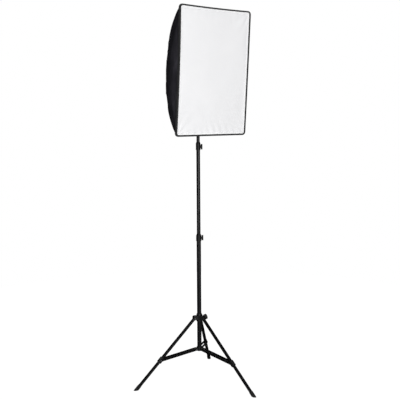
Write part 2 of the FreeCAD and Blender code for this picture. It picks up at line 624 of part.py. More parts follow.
def make_switch():
    """Frame in the rear wall and a rocker that tips between its two stable places."""
    centre = switch_centre()
    frame = switch_outline().common(block(centre - V(30, 16, 30), centre + V(30, 0, 30)))
    lip = block(centre - V(SWITCH_W / 2 + 1.5, 0, SWITCH_H / 2 + 1.5),
                centre + V(SWITCH_W / 2 + 1.5, 1.6, SWITCH_H / 2 + 1.5))
    well = block(centre - V(SWITCH_W / 2 - 1.5, 11, SWITCH_H / 2 - 1.3),
                 centre + V(SWITCH_W / 2 - 1.5, 4, SWITCH_H / 2 - 1.3))
    axle = centre - V(0, 4.5, 0)
    frame = frame.fuse(lip).cut(well)
    frame = frame.cut(rod(1.5 + RUNNING, axle - V(SWITCH_W / 2 - 0.4, 0, 0),
                          axle + V(SWITCH_W / 2 - 0.4, 0, 0)))
    save("switch_frame", head_placed(frame.removeSplitter()))

    half_w, half_h, face = SWITCH_W / 2 - 1.9, SWITCH_H / 2 - 2.6, 7.6
    crown = [V(0, -3.2, -half_h + 1.2), V(0, face, -half_h), V(0, face - 1.3, 0),
             V(0, face, half_h), V(0, -3.2, half_h - 1.2)]
    rocker = prism(crown, axle - V(half_w, 0, 0), V(2 * half_w, 0, 0))
    rocker = rocker.fuse(rod(1.5, axle - V(half_w + 0.9, 0, 0), axle + V(half_w + 0.9, 0, 0)))
    save("switch_rocker", head_placed(rocker.rotated(axle, X_AXIS, -ROCKER_ANGLE)))


def make_inlet():
    """Three-pin mains inlet: a keyed well in the rear wall of the holder, with no lead."""
    centre = inlet_centre()
    body = inlet_outline(0.0)
    flange = block(centre - V(INLET_W / 2 + 2, 0, INLET_H / 2 + 1.5),
                   centre + V(INLET_W / 2 + 2, 2.0, INLET_H / 2 + 1.5))
    half_w, half_h, key = INLET_W / 2 - 1.5, INLET_H / 2 - 2.0, 4.0
    well = prism([V(-half_w, 0, -half_h), V(half_w, 0, -half_h), V(half_w, 0, half_h - key),
                  V(half_w - key, 0, half_h), V(-half_w + key, 0, half_h), V(-half_w, 0, half_h - key)],
                 centre - V(0, INLET_DEPTH - 3, 0), V(0, INLET_DEPTH + 3, 0))
    save("power_inlet", head_placed(body.fuse(flange).cut(well).removeSplitter()))
    pins = []
    for x, z in ((-7, -2.0), (0, 2.0), (7, -2.0)):
        foot = centre + V(x, -(INLET_DEPTH - 3), z)
        pins.append(block(foot - V(1.0, 0, 2.0), foot + V(1.0, 12.0, 2.0)))
    save("inlet_pins", head_placed(Part.makeCompound(pins)))


def make_lamp():
    """Ceramic socket with its brass thread, and a spiral lamp screwed into it."""
    front, rear = SOCKET_DEPTHS
    socket = axis_rod(SOCKET_R, (front, HOLDER_DEPTHS[0] + HOLDER_WALL))
    socket = socket.fuse(axis_rod(SOCKET_R - 1, (front + 10, rear)))
    socket = socket.cut(axis_rod(CAP_R + 1.8, (front - 1, front + 32)))
    save("lamp_socket", head_placed(socket.removeSplitter()))
    thread = axis_rod(CAP_R + 1.3, (front + 4, front + 30)).cut(axis_rod(CAP_R + 0.4, (front, front + 31)))
    save("socket_thread", head_placed(thread))
    cap = axis_rod(CAP_R, (CAP_DEPTHS[0], CAP_DEPTHS[1] - 4)).fuse(
        axis_rod(CAP_R - 6, (CAP_DEPTHS[1] - 5, CAP_DEPTHS[1])))
    save("bulb_cap", head_placed(cap))

    tip, rim = BALLAST_DEPTHS
    profile = spun([(0, 0), (BALLAST_R - 3, 0), (BALLAST_R, 3), (BALLAST_R, 24),
                    (CAP_R + 1, rim - tip), (0, rim - tip)])
    save("bulb_ballast", head_placed(aimed(profile, axis_point(tip), Y_AXIS)))
    spiral = None
    for ring in range(SPIRAL_RINGS):
        depth = tip - SPIRAL_TUBE_R - ring * SPIRAL_PITCH
        turn = Part.makeTorus(SPIRAL_RING_R, SPIRAL_TUBE_R, axis_point(depth), Y_AXIS)
        spiral = turn if spiral is None else spiral.fuse(turn)
    save("bulb_spiral", head_placed(spiral))


def make_swivel():
    """Socket that clamps on the spigot, with a tongue that the head tilts on; in the stand's frame."""
    low = TOP_Z[1] + 4
    shoulder = PIVOT_Z - 32
    body = spun([(0, low), (12, low), (13, low + 1), (13, shoulder - 2), (11, shoulder), (0, shoulder)])
    half = TONGUE_THICK / 2
    tongue = block(V(-half, -12, shoulder - 12), V(half, 12, PIVOT_Z))
    tongue = tongue.common(mast_rod(13, (shoulder - 12, PIVOT_Z)))
    body = body.fuse(tongue)
    body = body.fuse(Part.makeCylinder(TONGUE_R, TONGUE_THICK, V(-half, 0, PIVOT_Z), X_AXIS))
    knob_z = SPIGOT_TOP - 24
    body = body.fuse(rod(BOSS_R, V(0, 0, knob_z), V(15, 0, knob_z)))
    body = body.cut(mast_rod(SPIGOT_R + RUNNING, (low - 1, SPIGOT_TOP + 0.6)))
    body = body.cut(rod(STUD_R + RUNNING, V(0, 0, knob_z), V(30, 0, knob_z)))
    body = body.cut(rod(BOLT_R + RUNNING, V(-20, 0, PIVOT_Z), V(20, 0, PIVOT_Z)))
    save("swivel_socket", body.removeSplitter())
    knob = lobed_knob(14.0, 10.0, 6, 5.5, 3.0, STUD_R, 15.4 - SPIGOT_R - 0.6)
    save("swivel_knob", aimed(knob, V(15.4, 0, knob_z), X_AXIS))


def make_arm():
    """Bent flat bar from the tilt bracket back to the underside of the lamp holder."""
    cheek_in = TONGUE_THICK / 2 + 0.3
    cheek_out = cheek_in + 4.0
    low, high, t = ARM_LOW, ARM_HIGH, ARM_THICK / 2
    rise_start, rise_end = ARM_RISE
    end = FACE_Y + HUB_PLATE_DEPTHS[0] - 1
    side = [V(0, -14, low - t), V(0, rise_start, low - t), V(0, rise_end, high - t), V(0, end, high - t),
            V(0, end, high + t), V(0, rise_end - 2, high + t), V(0, rise_start - 2, low + t),
            V(0, -14, low + t)]
    arm = prism(side, V(-ARM_W / 2, 0, 0), V(ARM_W, 0, 0))
    for inner, outer in ((-cheek_out, -cheek_in), (cheek_in, cheek_out)):
        cheek = block(V(inner, -14, 0), V(outer, 14, low))
        cheek = cheek.fuse(Part.makeCylinder(14, outer - inner, V(inner, 0, 0), X_AXIS))
        arm = arm.fuse(cheek)
    arm = arm.cut(rod(BOLT_R, V(-20, 0, 0), V(20, 0, 0)))
    save("mounting_arm", head_placed(arm.removeSplitter()))

    bolt_end = cheek_out + 10.0
    bolt = rod(BOLT_R, V(-cheek_out, 0, 0), V(bolt_end, 0, 0))
    hexagon = Part.makePolygon([V(-cheek_out, 7.5 * math.cos(a), 7.5 * math.sin(a)) for a in
                                [math.radians(60 * k) for k in range(7)]])
    bolt = bolt.fuse(Part.Face(hexagon).extrude(V(-5, 0, 0)))
    save("tilt_bolt", head_placed(bolt))
    knob = lobed_knob(18.0, 13.0, 7, 9.0, 5.0, 5.5, 0.0)
    knob = aimed(knob, V(cheek_out + 1.3, 0, 0), X_AXIS)
    save("tilt_knob", head_placed(knob.cut(rod(BOLT_R + RUNNING, V(0, 0, 0), V(bolt_end + 1, 0, 0)))))


def make_head():
    make_canopy()
    holes, bosses = make_rods()
    make_rod_hub(holes, bosses)
    make_holder()
    make_switch()
    make_inlet()
    make_lamp()
    make_swivel()
    make_arm()


os.makedirs("parts", exist_ok=True)
make_mast()
make_tripod()
make_head()
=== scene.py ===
import math

import bmesh
import bpy
import numpy as np
from mathutils import Matrix, Vector, noise


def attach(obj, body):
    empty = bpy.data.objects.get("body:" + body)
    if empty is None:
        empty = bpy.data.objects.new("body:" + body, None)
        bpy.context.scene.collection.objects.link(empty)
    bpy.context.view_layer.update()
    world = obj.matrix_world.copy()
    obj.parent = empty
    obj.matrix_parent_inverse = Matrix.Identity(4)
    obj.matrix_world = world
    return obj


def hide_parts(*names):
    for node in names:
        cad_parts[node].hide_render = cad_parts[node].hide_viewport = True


# Studio softbox on a light stand: the looks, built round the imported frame. Metres.

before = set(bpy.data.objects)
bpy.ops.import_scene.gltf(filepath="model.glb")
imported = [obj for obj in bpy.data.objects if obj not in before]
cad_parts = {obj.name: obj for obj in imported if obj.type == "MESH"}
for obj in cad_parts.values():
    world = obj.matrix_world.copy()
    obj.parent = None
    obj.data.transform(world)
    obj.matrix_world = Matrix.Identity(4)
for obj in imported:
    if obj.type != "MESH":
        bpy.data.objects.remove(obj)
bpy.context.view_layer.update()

# ---------------------------------------------------------------- the head's own frame
# Pivot at the origin, lamp axis level along Y, AXIS above the pivot; the face looks towards -Y.

HEAD_TILT = math.radians(4.0)
HEAD = Matrix.Translation((0, 0, 1.754)) @ Matrix.Rotation(HEAD_TILT, 4, "X")
AXIS = 0.085
FACE_Y = -0.145
FACE_W, FACE_H = 0.504, 0.704
REACH = math.hypot(FACE_W, FACE_H) / 2
SHARE_X, SHARE_Z = FACE_W / 2 / REACH, FACE_H / 2 / REACH
REAR_DEPTH = 0.320
REAR_REACH = 0.066
SLIT_DEPTHS, SLIT_HALF = (0.045, 0.210), 0.020
CLOTH = 0.0012


def head_point(x, depth, z):
    """Point of the head's frame, by depth behind the face and height over the lamp axis."""
    return HEAD @ Vector((x, FACE_Y + depth, AXIS + z))


def smooth(low, high, value):
    t = min(1.0, max(0.0, (value - low) / (high - low)))
    return t * t * (3 - 2 * t)


# ---------------------------------------------------------------- node helpers

class Nodes:
    """Short calls for building a material's node tree round one Principled shader."""

    def __init__(self, name):
        self.material = bpy.data.materials.new(name)
        self.material.use_nodes = True
        self.tree = self.material.node_tree
        self.shader = self.tree.nodes["Principled BSDF"]
        self.coords = self.tree.nodes.new("ShaderNodeTexCoord").outputs["Object"]

    def add(self, kind, inputs=(), **props):
        node = self.tree.nodes.new(kind)
        for key, value in props.items():
            setattr(node, key, value)
        for key, value in dict(inputs).items():
            self.feed(node.inputs[key], value)
        return node

    def feed(self, socket, value):
        if isinstance(value, bpy.types.NodeSocket):
            self.tree.links.new(value, socket)
        else:
            socket.default_value = value

    def set(self, **values):
        """Feed the shader's inputs by name, with _ for each space."""
        for key, value in values.items():
            self.feed(self.shader.inputs[key.replace("_", " ")], value)
        return self

    def stretched(self, scale, turn=(0, 0, 0)):
        return self.add("ShaderNodeMapping", {"Vector": self.coords, "Scale": scale,
                                              "Rotation": turn}).outputs[0]

    def noise(self, scale, detail=4.0, rough=0.55, at=None):
        node = self.add("ShaderNodeTexNoise", {"Vector": at or self.coords, "Scale": scale,
                                               "Detail": detail, "Roughness": rough})
        return node.outputs["Fac"]

    def wave(self, scale, axis, at=None, distort=0.0):
        node = self.add("ShaderNodeTexWave", {"Vector": at or self.coords, "Scale": scale,
                                              "Distortion": distort, "Detail": 1.0},
                        bands_direction=axis)
        return node.outputs["Fac"]

    def span(self, value, low, high, to_low=0.0, to_high=1.0):
        node = self.add("ShaderNodeMapRange", {"Value": value, "From Min": low, "From Max": high,
                                               "To Min": to_low, "To Max": to_high})
        return node.outputs[0]

    def math(self, operation, a, b=0.0):
        node = self.add("ShaderNodeMath", operation=operation)
        self.feed(node.inputs[0], a)
        self.feed(node.inputs[1], b)
        return node.outputs[0]

    def mix(self, share, a, b):
        node = self.add("ShaderNodeMix", data_type="RGBA")
        self.feed(node.inputs["Factor"], share)
        self.feed(node.inputs[6], a if isinstance(a, bpy.types.NodeSocket) else (*a, 1.0))
        self.feed(node.inputs[7], b if isinstance(b, bpy.types.NodeSocket) else (*b, 1.0))
        return node.outputs[2]

    def bump(self, height, distance, strength, under=None):
        node = self.add("ShaderNodeBump", {"Height": height, "Distance": distance,
                                           "Strength": strength})
        if under is not None:
            self.tree.links.new(under, node.inputs["Normal"])
        return node.outputs[0]

    def attribute(self, name):
        return self.add("ShaderNodeAttribute", attribute_name=name).outputs["Fac"]

    def edges(self):
        """Share of wear from the surface's own pointiness, 0 on flats and 1 on outer edges."""
        return self.span(self.add("ShaderNodeNewGeometry").outputs["Pointiness"], 0.52, 0.60)


def powder_coat(name, colour, rough, glint, grain=0.00002):
    """Black coated metal: orange peel, faint handling marks and a duller bloom of dust."""
    m = Nodes(name)
    bloom = m.noise(9.0, 6.0, 0.6)
    marks = m.noise(60.0, 3.0, 0.7, at=m.stretched((1, 1, 0.12)))
    dust = m.span(bloom, 0.35, 0.75)
    lighter = tuple(c * 1.7 + 0.001 for c in colour)
    tone = m.mix(dust, colour, lighter)
    tone = m.mix(m.span(marks, 0.66, 0.78, 0.0, 0.3), tone, tuple(c * 2 + 0.006 for c in colour))
    peel = m.noise(900.0, 2.0, 0.5)
    m.set(Base_Color=tone, Roughness=m.span(bloom, 0.2, 0.8, rough - 0.05, rough + 0.09),
          Normal=m.bump(peel, grain, 0.6), Specular_IOR_Level=glint)
    return m.material


def moulded(name, colour, rough, worn, grain=0.00004, glint=0.28):
    """Moulded plastic: spark-eroded grain, a slight swirl in the colour and rubbed edges."""
    m = Nodes(name)
    swirl = m.noise(22.0, 5.0, 0.6)
    grains = m.noise(1500.0, 3.0, 0.7)
    tone = m.mix(m.span(swirl, 0.3, 0.7), colour, tuple(c * 1.5 + 0.002 for c in colour))
    tone = m.mix(m.math("MULTIPLY", m.edges(), 0.55), tone, tuple(c + worn for c in colour))
    m.set(Base_Color=tone, Roughness=m.span(swirl, 0.2, 0.8, rough - 0.06, rough + 0.06),
          Normal=m.bump(grains, grain, 0.7), Specular_IOR_Level=glint)
    return m.material


def rubber(name):
    m = Nodes(name)
    scuff = m.noise(45.0, 5.0, 0.7)
    height = m.add("ShaderNodeSeparateXYZ", {"Vector": m.coords}).outputs["Z"]
    low = m.span(height, 0.0, 0.014, 1.0, 0.0)
    dusty = m.math("MULTIPLY", low, m.span(scuff, 0.3, 0.7))
    tone = m.mix(m.span(scuff, 0.35, 0.75), (0.006, 0.006, 0.006), (0.014, 0.0135, 0.013))
    tone = m.mix(m.math("MULTIPLY", dusty, 0.7), tone, (0.065, 0.0625, 0.059))
    m.set(Base_Color=tone, Roughness=m.span(scuff, 0.2, 0.8, 0.7, 0.92),
          Normal=m.bump(m.noise(700.0, 4.0, 0.7), 0.00012, 0.7), Specular_IOR_Level=0.18)
    return m.material


def metal(name, colour, rough, brushed=(1, 1, 1)):
    m = Nodes(name)
    lines = m.noise(420.0, 4.0, 0.7, at=m.stretched(brushed))
    cloud = m.noise(30.0, 4.0, 0.6)
    tone = m.mix(m.span(cloud, 0.3, 0.75), colour, tuple(c * 0.72 for c in colour))
    m.set(Base_Color=tone, Roughness=m.span(lines, 0.2, 0.8, rough - 0.08, rough + 0.12),
          Normal=m.bump(lines, 0.00001, 0.8), Metallic=1.0)
    return m.material


def woven(m, pitch, depth, axes, under=None):
    """Plain weave as two crossed sets of threads, by the head's own axes."""
    at = m.stretched((1, 1, 1), turn=(-HEAD_TILT, 0, 0))
    scale = math.pi / pitch / 10.0  # the wave texture repeats every pi / 10 / scale
    warp = m.wave(scale, axes[0], at=at, distort=0.25)
    weft = m.wave(scale, axes[1], at=at, distort=0.25)
    threads = m.math("MAXIMUM", warp, weft)
    return threads, m.bump(threads, depth, 0.7, under=under)


def nylon(name):
    """Coated black nylon: tight weave, storage creases and a little lint."""
    m = Nodes(name)
    cloud = m.noise(7.0, 5.0, 0.6)
    lint = m.noise(340.0, 2.0, 0.9)
    tone = m.mix(m.span(cloud, 0.3, 0.7), (0.0355, 0.0338, 0.0422), (0.0720, 0.0688, 0.0838))
    tone = m.mix(m.span(lint, 0.74, 0.80, 0.0, 0.5), tone, (0.11, 0.11, 0.118))
    crease = m.add("ShaderNodeTexVoronoi", {"Vector": m.stretched((1, 1, 0.6)), "Scale": 13.0},
                   feature="DISTANCE_TO_EDGE").outputs["Distance"]
    lines = m.span(crease, 0.0, 0.035, 1.0, 0.0)
    soft = m.bump(m.noise(38.0, 3.0, 0.5), 0.0016, 0.35)
    creased = m.bump(lines, 0.0007, 0.35, under=soft)
    normal = woven(m, 0.0007, 0.00009, ("Y", "Z"), under=creased)[1]
    m.set(Base_Color=tone, Roughness=m.span(cloud, 0.2, 0.8, 0.58, 0.74), Normal=normal,
          Specular_IOR_Level=0.10)
    return m.material


def silver_cloth(name):
    """Reflective lining: a metal film pressed into a fine pebble on the cloth."""
    m = Nodes(name)
    pebble = m.add("ShaderNodeTexVoronoi", {"Vector": m.coords, "Scale": 420.0},
                   feature="SMOOTH_F1").outputs["Distance"]
    cloud = m.noise(12.0, 4.0, 0.6)
    tone = m.mix(m.span(cloud, 0.3, 0.7), (0.74, 0.75, 0.77), (0.60, 0.61, 0.63))
    m.set(Base_Color=tone, Roughness=m.span(cloud, 0.2, 0.8, 0.3, 0.42),
          Normal=m.bump(pebble, 0.0004, 0.6), Metallic=0.9)
    return m.material


def diffusion_cloth(name, colour, low):
    """White diffusion nylon: fine weave, painted shade between its threads, a cloudy tone and faint
    slubs of yarn.
    """
    m = Nodes(name)
    cloud = m.noise(5.0, 4.0, 0.6)
    slubs = m.noise(160.0, 2.0, 0.6, at=m.stretched((1, 1, 0.06)))
    tone = m.mix(m.span(cloud, 0.3, 0.7), colour, low)
    tone = m.mix(m.span(slubs, 0.62, 0.74, 0.0, 0.25), tone, tuple(c * 0.96 for c in low))
    threads, normal = woven(m, 0.0006, 0.00006, ("X", "Z"))
    # painted shade: the cloth is greyed where the threads are low, in the gaps of the weave
    tone = m.mix(m.span(threads, 0.0, 1.0, 0.05, 0.0), tone, (0.6, 0.6, 0.62))
    m.set(Base_Color=tone, Roughness=m.span(cloud, 0.2, 0.8, 0.72, 0.84), Normal=normal,
          Specular_IOR_Level=0.25, Sheen_Weight=0.08)
    return m.material


def tape(name, dark, light, across=0.0011):
    """Woven edge tape: ribs across it, read from the mesh's own along-the-edge distance, with painted
    shade in the grooves between them.
    """
    m = Nodes(name)
    along = m.attribute("along")
    ribs = m.math("SINE", m.math("MULTIPLY", along, 2 * math.pi / across))
    cloud = m.noise(16.0, 4.0, 0.6)
    fuzz = m.noise(800.0, 3.0, 0.8)
    tone = m.mix(m.span(cloud, 0.3, 0.7), dark, light)
    # painted shade: darker in the grooves between the ribs
    tone = m.mix(m.span(ribs, -1.0, 1.0, 0.35, 0.0), tone, tuple(c * 0.45 for c in dark))
    tone = m.mix(m.span(fuzz, 0.68, 0.8, 0.0, 0.4), tone, tuple(c * 2.0 + 0.01 for c in light))
    m.set(Base_Color=tone, Roughness=m.span(cloud, 0.2, 0.8, 0.64, 0.80),
          Normal=m.bump(ribs, 0.00016, 0.6, under=m.bump(fuzz, 0.0001, 0.5)),
          Sheen_Weight=0.10, Sheen_Roughness=0.45)
    return m.material


def thread(name, colour):
    m = Nodes(name)
    twist = m.wave(500.0, "DIAGONAL")
    cloud = m.noise(80.0, 3.0, 0.6)
    tone = m.mix(m.span(cloud, 0.3, 0.7), colour, tuple(c * 0.7 for c in colour))
    m.set(Base_Color=tone, Roughness=m.span(cloud, 0.2, 0.8, 0.5, 0.65),
          Normal=m.bump(twist, 0.00005, 0.5), Sheen_Weight=0.2)
    return m.material


def lamp_glass(name):
    m = Nodes(name)
    cloud = m.noise(25.0, 4.0, 0.6)
    tone = m.mix(m.span(cloud, 0.3, 0.75), (0.88, 0.88, 0.86), (0.80, 0.80, 0.77))
    m.set(Base_Color=tone, Roughness=m.span(cloud, 0.2, 0.8, 0.1, 0.2),
          Normal=m.bump(m.noise(260.0, 2.0, 0.5), 0.00002, 0.4),
          Coat_Weight=0.6, Coat_Roughness=0.06)
    return m.material


def glazed(name, colour):
    m = Nodes(name)
    speck = m.noise(210.0, 2.0, 0.8)
    cloud = m.noise(18.0, 4.0, 0.6)
    tone = m.mix(m.span(cloud, 0.3, 0.75), colour, tuple(c * 0.9 for c in colour))
    tone = m.mix(m.span(speck, 0.73, 0.8, 0.0, 0.35), tone, (0.45, 0.4, 0.33))
    m.set(Base_Color=tone, Roughness=m.span(cloud, 0.2, 0.8, 0.2, 0.34),
          Normal=m.bump(m.noise(130.0, 2.0, 0.5), 0.00012, 0.35),
          Coat_Weight=0.5, Coat_Roughness=0.12)
    return m.material


TUBE = powder_coat("tube_black", (0.0045, 0.0045, 0.0050), 0.27, glint=0.13)
# painted shade: the leg tubes take a darker, duller copy of the tube coat, for the dimmer light low on
# the stand
LEG_SHADED_BLACK = powder_coat("leg_black_painted_shade", (0.0028, 0.0028, 0.0031), 0.40, glint=0.04)
STEEL_BLACK = powder_coat("steel_black", (0.0030, 0.0030, 0.0033), 0.42, grain=0.00003, glint=0.04)
PLASTIC = moulded("plastic_black", (0.0038, 0.0038, 0.0042), 0.48, worn=0.015, glint=0.14)
HOLDER = moulded("holder_plastic", (0.0075, 0.0075, 0.0080), 0.36, grain=0.00007, worn=0.02)
RUBBER = rubber("rubber_black")
ZINC = metal("steel_bright", (0.52, 0.53, 0.55), 0.32)
RIVET = metal("rivet_steel", (0.15, 0.15, 0.155), 0.42)
SPRING = metal("spring_steel", (0.42, 0.42, 0.43), 0.36, brushed=(1, 0.06, 1))
BRASS = metal("brass", (0.76, 0.57, 0.25), 0.3)
CAP_METAL = metal("cap_metal", (0.72, 0.72, 0.74), 0.26)
NYLON = nylon("fabric_black")
SILVER = silver_cloth("fabric_silver")
CLOTH_WHITE = diffusion_cloth("fabric_white", (0.83, 0.83, 0.84), (0.80, 0.80, 0.812))
HEM_WHITE = diffusion_cloth("fabric_white_hem", (0.90, 0.90, 0.905), (0.87, 0.87, 0.88))
BINDING = tape("binding_grey", (0.0075, 0.0075, 0.0083), (0.0140, 0.0140, 0.0152))
SLIT_TAPE = tape("binding_black", (0.012, 0.012, 0.013), (0.022, 0.022, 0.024))
ELASTIC = tape("elastic_black", (0.011, 0.011, 0.012), (0.021, 0.021, 0.023), across=0.0016)
THREAD_BLACK = thread("thread_black", (0.035, 0.035, 0.037))
THREAD_WHITE = thread("thread_white", (0.82, 0.82, 0.83))
CERAMIC = glazed("ceramic_white", (0.80, 0.79, 0.74))
LAMP_PLASTIC = moulded("lamp_plastic", (0.80, 0.80, 0.77), 0.3, grain=0.00002, worn=0.0, glint=0.5)
LAMP_TUBE = lamp_glass("lamp_tube")

FINISHES = {
    "column_tube": TUBE, "mid_tube": TUBE, "top_tube": TUBE, "leg_tube": LEG_SHADED_BLACK,
    "column_end_plug": PLASTIC, "base_collar": PLASTIC, "lower_lock_collar": PLASTIC,
    "upper_lock_collar": PLASTIC, "lower_lock_knob": PLASTIC, "upper_lock_knob": PLASTIC,
    "leg_hub": PLASTIC, "hub_lock_knob": PLASTIC, "leg_knuckle": PLASTIC, "leg_clip": PLASTIC,
    "mid_tube_bush": PLASTIC, "top_tube_bush": PLASTIC, "swivel_socket": PLASTIC,
    "swivel_knob": PLASTIC, "tilt_knob": PLASTIC, "rod_hub": PLASTIC, "rod_end_caps": PLASTIC,
    "leg_foot": RUBBER, "leg_pivot_pins": RIVET, "brace_rivets": RIVET, "holder_screws": ZINC,
    "spigot": ZINC, "tilt_bolt": ZINC, "brace_strips": STEEL_BLACK, "mounting_arm": STEEL_BLACK,
    "frame_rods": SPRING, "holder_upper": HOLDER, "holder_lower": HOLDER, "switch_frame": HOLDER,
    "switch_rocker": HOLDER, "power_inlet": HOLDER, "inlet_pins": BRASS, "lamp_socket": CERAMIC,
    "socket_thread": BRASS, "bulb_cap": CAP_METAL, "bulb_ballast": LAMP_PLASTIC,
}

for name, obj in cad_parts.items():
    finish = FINISHES.get(name) or FINISHES.get(name.rsplit("_", 1)[0])
    if finish is not None:
        obj.data.materials.clear()
        obj.data.materials.append(finish)


# ---------------------------------------------------------------- mesh helpers

def new_piece(name, verts, faces, materials, faces_material=None, body="head", flat=False):
    mesh = bpy.data.meshes.new(name)
    mesh.from_pydata([tuple(v) for v in verts], [], faces)
    for material in materials:
        mesh.materials.append(material)
    if faces_material is not None:
        mesh.polygons.foreach_set("material_index", faces_material)
    mesh.polygons.foreach_set("use_smooth", [not flat] * len(mesh.polygons))
    mesh.update()
    obj = bpy.data.objects.new(name, mesh)
    bpy.context.scene.collection.objects.link(obj)
    if body:
        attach(obj, body)
    return obj


def set_along(obj, values):
    layer = obj.data.attributes.new("along", "FLOAT", "POINT")
    layer.data.foreach_set("value", np.asarray(values, np.float32))


def ring_faces(rows, columns, wrap_rows=False, wrap_columns=True):
    """Quads of a grid whose points run row by row."""
    faces = []
    for r in range(rows if wrap_rows else rows - 1):
        for c in range(columns if wrap_columns else columns - 1):
            a, b = r * columns + c, r * columns + (c + 1) % columns
            down = ((r + 1) % rows) * columns
            faces.append((a, b, down + (c + 1) % columns, down + c))
    return faces


STITCH_LENGTH, STITCH_PITCH = 0.0030, 0.0042
# rings of one stitch: share of its length, lift and radius as shares of the thread's radius
STITCH_RINGS = ((0.0, -0.4, 0.3), (0.15, 0.45, 0.9), (0.5, 0.8, 1.0), (0.85, 0.45, 0.9),
                (1.0, -0.4, 0.3))


def stitches(name, rows, material, radius=0.00033):
    """Rows of thread stitches. A row is a list of (point, outward normal), in the stand's frame."""
    verts, faces, sides = [], [], 5
    for row in rows:
        points = [p for p, _ in row]
        lengths = np.cumsum([0.0] + [(b - a).length for a, b in zip(points, points[1:])])
        count = int(lengths[-1] / STITCH_PITCH)
        for k in range(count):
            ends = []
            middle = (k + 0.5) * STITCH_PITCH
            for s in (middle - STITCH_LENGTH / 2, middle + STITCH_LENGTH / 2):
                i = min(len(points) - 2, max(0, int(np.searchsorted(lengths, s)) - 1))
                t = (s - lengths[i]) / max(1e-9, lengths[i + 1] - lengths[i])
                ends.append((points[i].lerp(points[i + 1], t), row[i][1]))
            (a, up), (b, _) = ends
            run = b - a
            ahead = run.normalized()
            side = ahead.cross(up).normalized()
            base = len(verts)
            for share, lift, size in STITCH_RINGS:
                centre = a + run * share + up * (radius * lift)
                for q in range(sides):
                    turn = 2 * math.pi * q / sides
                    outward = side * math.cos(turn) + up * math.sin(turn)
                    verts.append(centre + outward * radius * size)
            faces += [tuple(base + i for i in face) for face in ring_faces(len(STITCH_RINGS), sides)]
            last_ring = base + (len(STITCH_RINGS) - 1) * sides
            faces.append(tuple(base + q for q in range(sides - 1, -1, -1)))
            faces.append(tuple(last_ring + q for q in range(sides)))
    return new_piece(name, verts, faces, [material])


# ---------------------------------------------------------------- canopy

def rib_line():
    """The canopy's corner seam, a Bezier curve from the rear to the front: its points as
    (depth, reach), and the distance run to each."""
    rear, rear_arm = math.radians(76.0), 0.163
    front, front_arm = math.radians(35.0), 0.299
    poles = np.array([(REAR_DEPTH, REAR_REACH),
                      (REAR_DEPTH - rear_arm * math.cos(rear), REAR_REACH + rear_arm * math.sin(rear)),
                      (front_arm * math.cos(front), REACH - front_arm * math.sin(front)),
                      (0.0, REACH)])
    t = np.linspace(0, 1, 800)[:, None]
    line = ((1 - t) ** 3 * poles[0] + 3 * t * (1 - t) ** 2 * poles[1]
            + 3 * t ** 2 * (1 - t) * poles[2] + t ** 3 * poles[3])
    run = np.concatenate([[0], np.cumsum(np.linalg.norm(np.diff(line, axis=0), axis=1))])
    return line, run


RIB, RIB_RUN = rib_line()
RIB_LENGTH = RIB_RUN[-1]
SIDES = ("right", "top", "left", "bottom")
CORNER_POINTS = 5
CORNER_FRONT, CORNER_MIDDLE, CORNER_REAR = 0.0195, 0.0085, 0.0125
# how far the middle of each side stands out half way back, and curves in at the front edge
BELLY = {"right": 0.0226, "left": 0.0226, "top": 0.0105, "bottom": 0.0105}
FRONT_BOW = {"right": -0.0009, "left": 0.0044, "top": 0.0025, "bottom": 0.0000}


def corner_radius(depth):
    front_share = 1 - smooth(0.0, 0.07, depth)
    rear_share = smooth(0.27, 0.32, depth)
    return (CORNER_MIDDLE + (CORNER_FRONT - CORNER_MIDDLE) * front_share
            + (CORNER_REAR - CORNER_MIDDLE) * rear_share)


def edge_bulge(side, t, depth):
    """How far a side stands out from the straight line between its corners."""
    open_share = 1 - t * t
    belly = BELLY[side] * math.sin(math.pi * min(1.0, depth / REAR_DEPTH)) ** 0.9
    bow = FRONT_BOW[side] * math.exp(-(depth / 0.05) ** 2)
    return open_share * (belly - bow)


OUT = {"right": (1, 0), "top": (0, 1), "left": (-1, 0), "bottom": (0, -1)}
ALONG = {"right": (0, 1), "top": (-1, 0), "left": (0, -1), "bottom": (1, 0)}


def outline(depth, reach, counts):
    """Points round the canopy at one depth, from the lower right corner up and round as seen from
    the front: (x, z, outward x, outward z, side or None, t, arm to corner)."""
    half = {"x": reach * SHARE_X, "z": reach * SHARE_Z}
    r = corner_radius(depth)
    points = []
    for side in SIDES:
        out, along = OUT[side], ALONG[side]
        reach_out = half["x"] if out[0] else half["z"]
        reach_along = (half["z"] if out[0] else half["x"]) - r
        count = counts[side]
        for k in range(count):
            t = -1 + 2 * k / (count - 1)
            stretch = edge_bulge(side, t, depth)
            u, w = t * reach_along, reach_out + stretch
            points.append((out[0] * w + along[0] * u, out[1] * w + along[1] * u,
                           out[0], out[1], side, t, reach_along * (1 - abs(t))))
        centre = (out[0] * (reach_out - r) + along[0] * reach_along,
                  out[1] * (reach_out - r) + along[1] * reach_along)
        for k in range(1, CORNER_POINTS + 1):
            turn = math.pi / 2 * k / (CORNER_POINTS + 1)
            nx = out[0] * math.cos(turn) + along[0] * math.sin(turn)
            nz = out[1] * math.cos(turn) + along[1] * math.sin(turn)
            points.append((centre[0] + r * nx, centre[1] + r * nz, nx, nz, None, 1.0, 0.0))
    return points


def wave_noise(x, y, z):
    return noise.noise(Vector((x, y, z)))


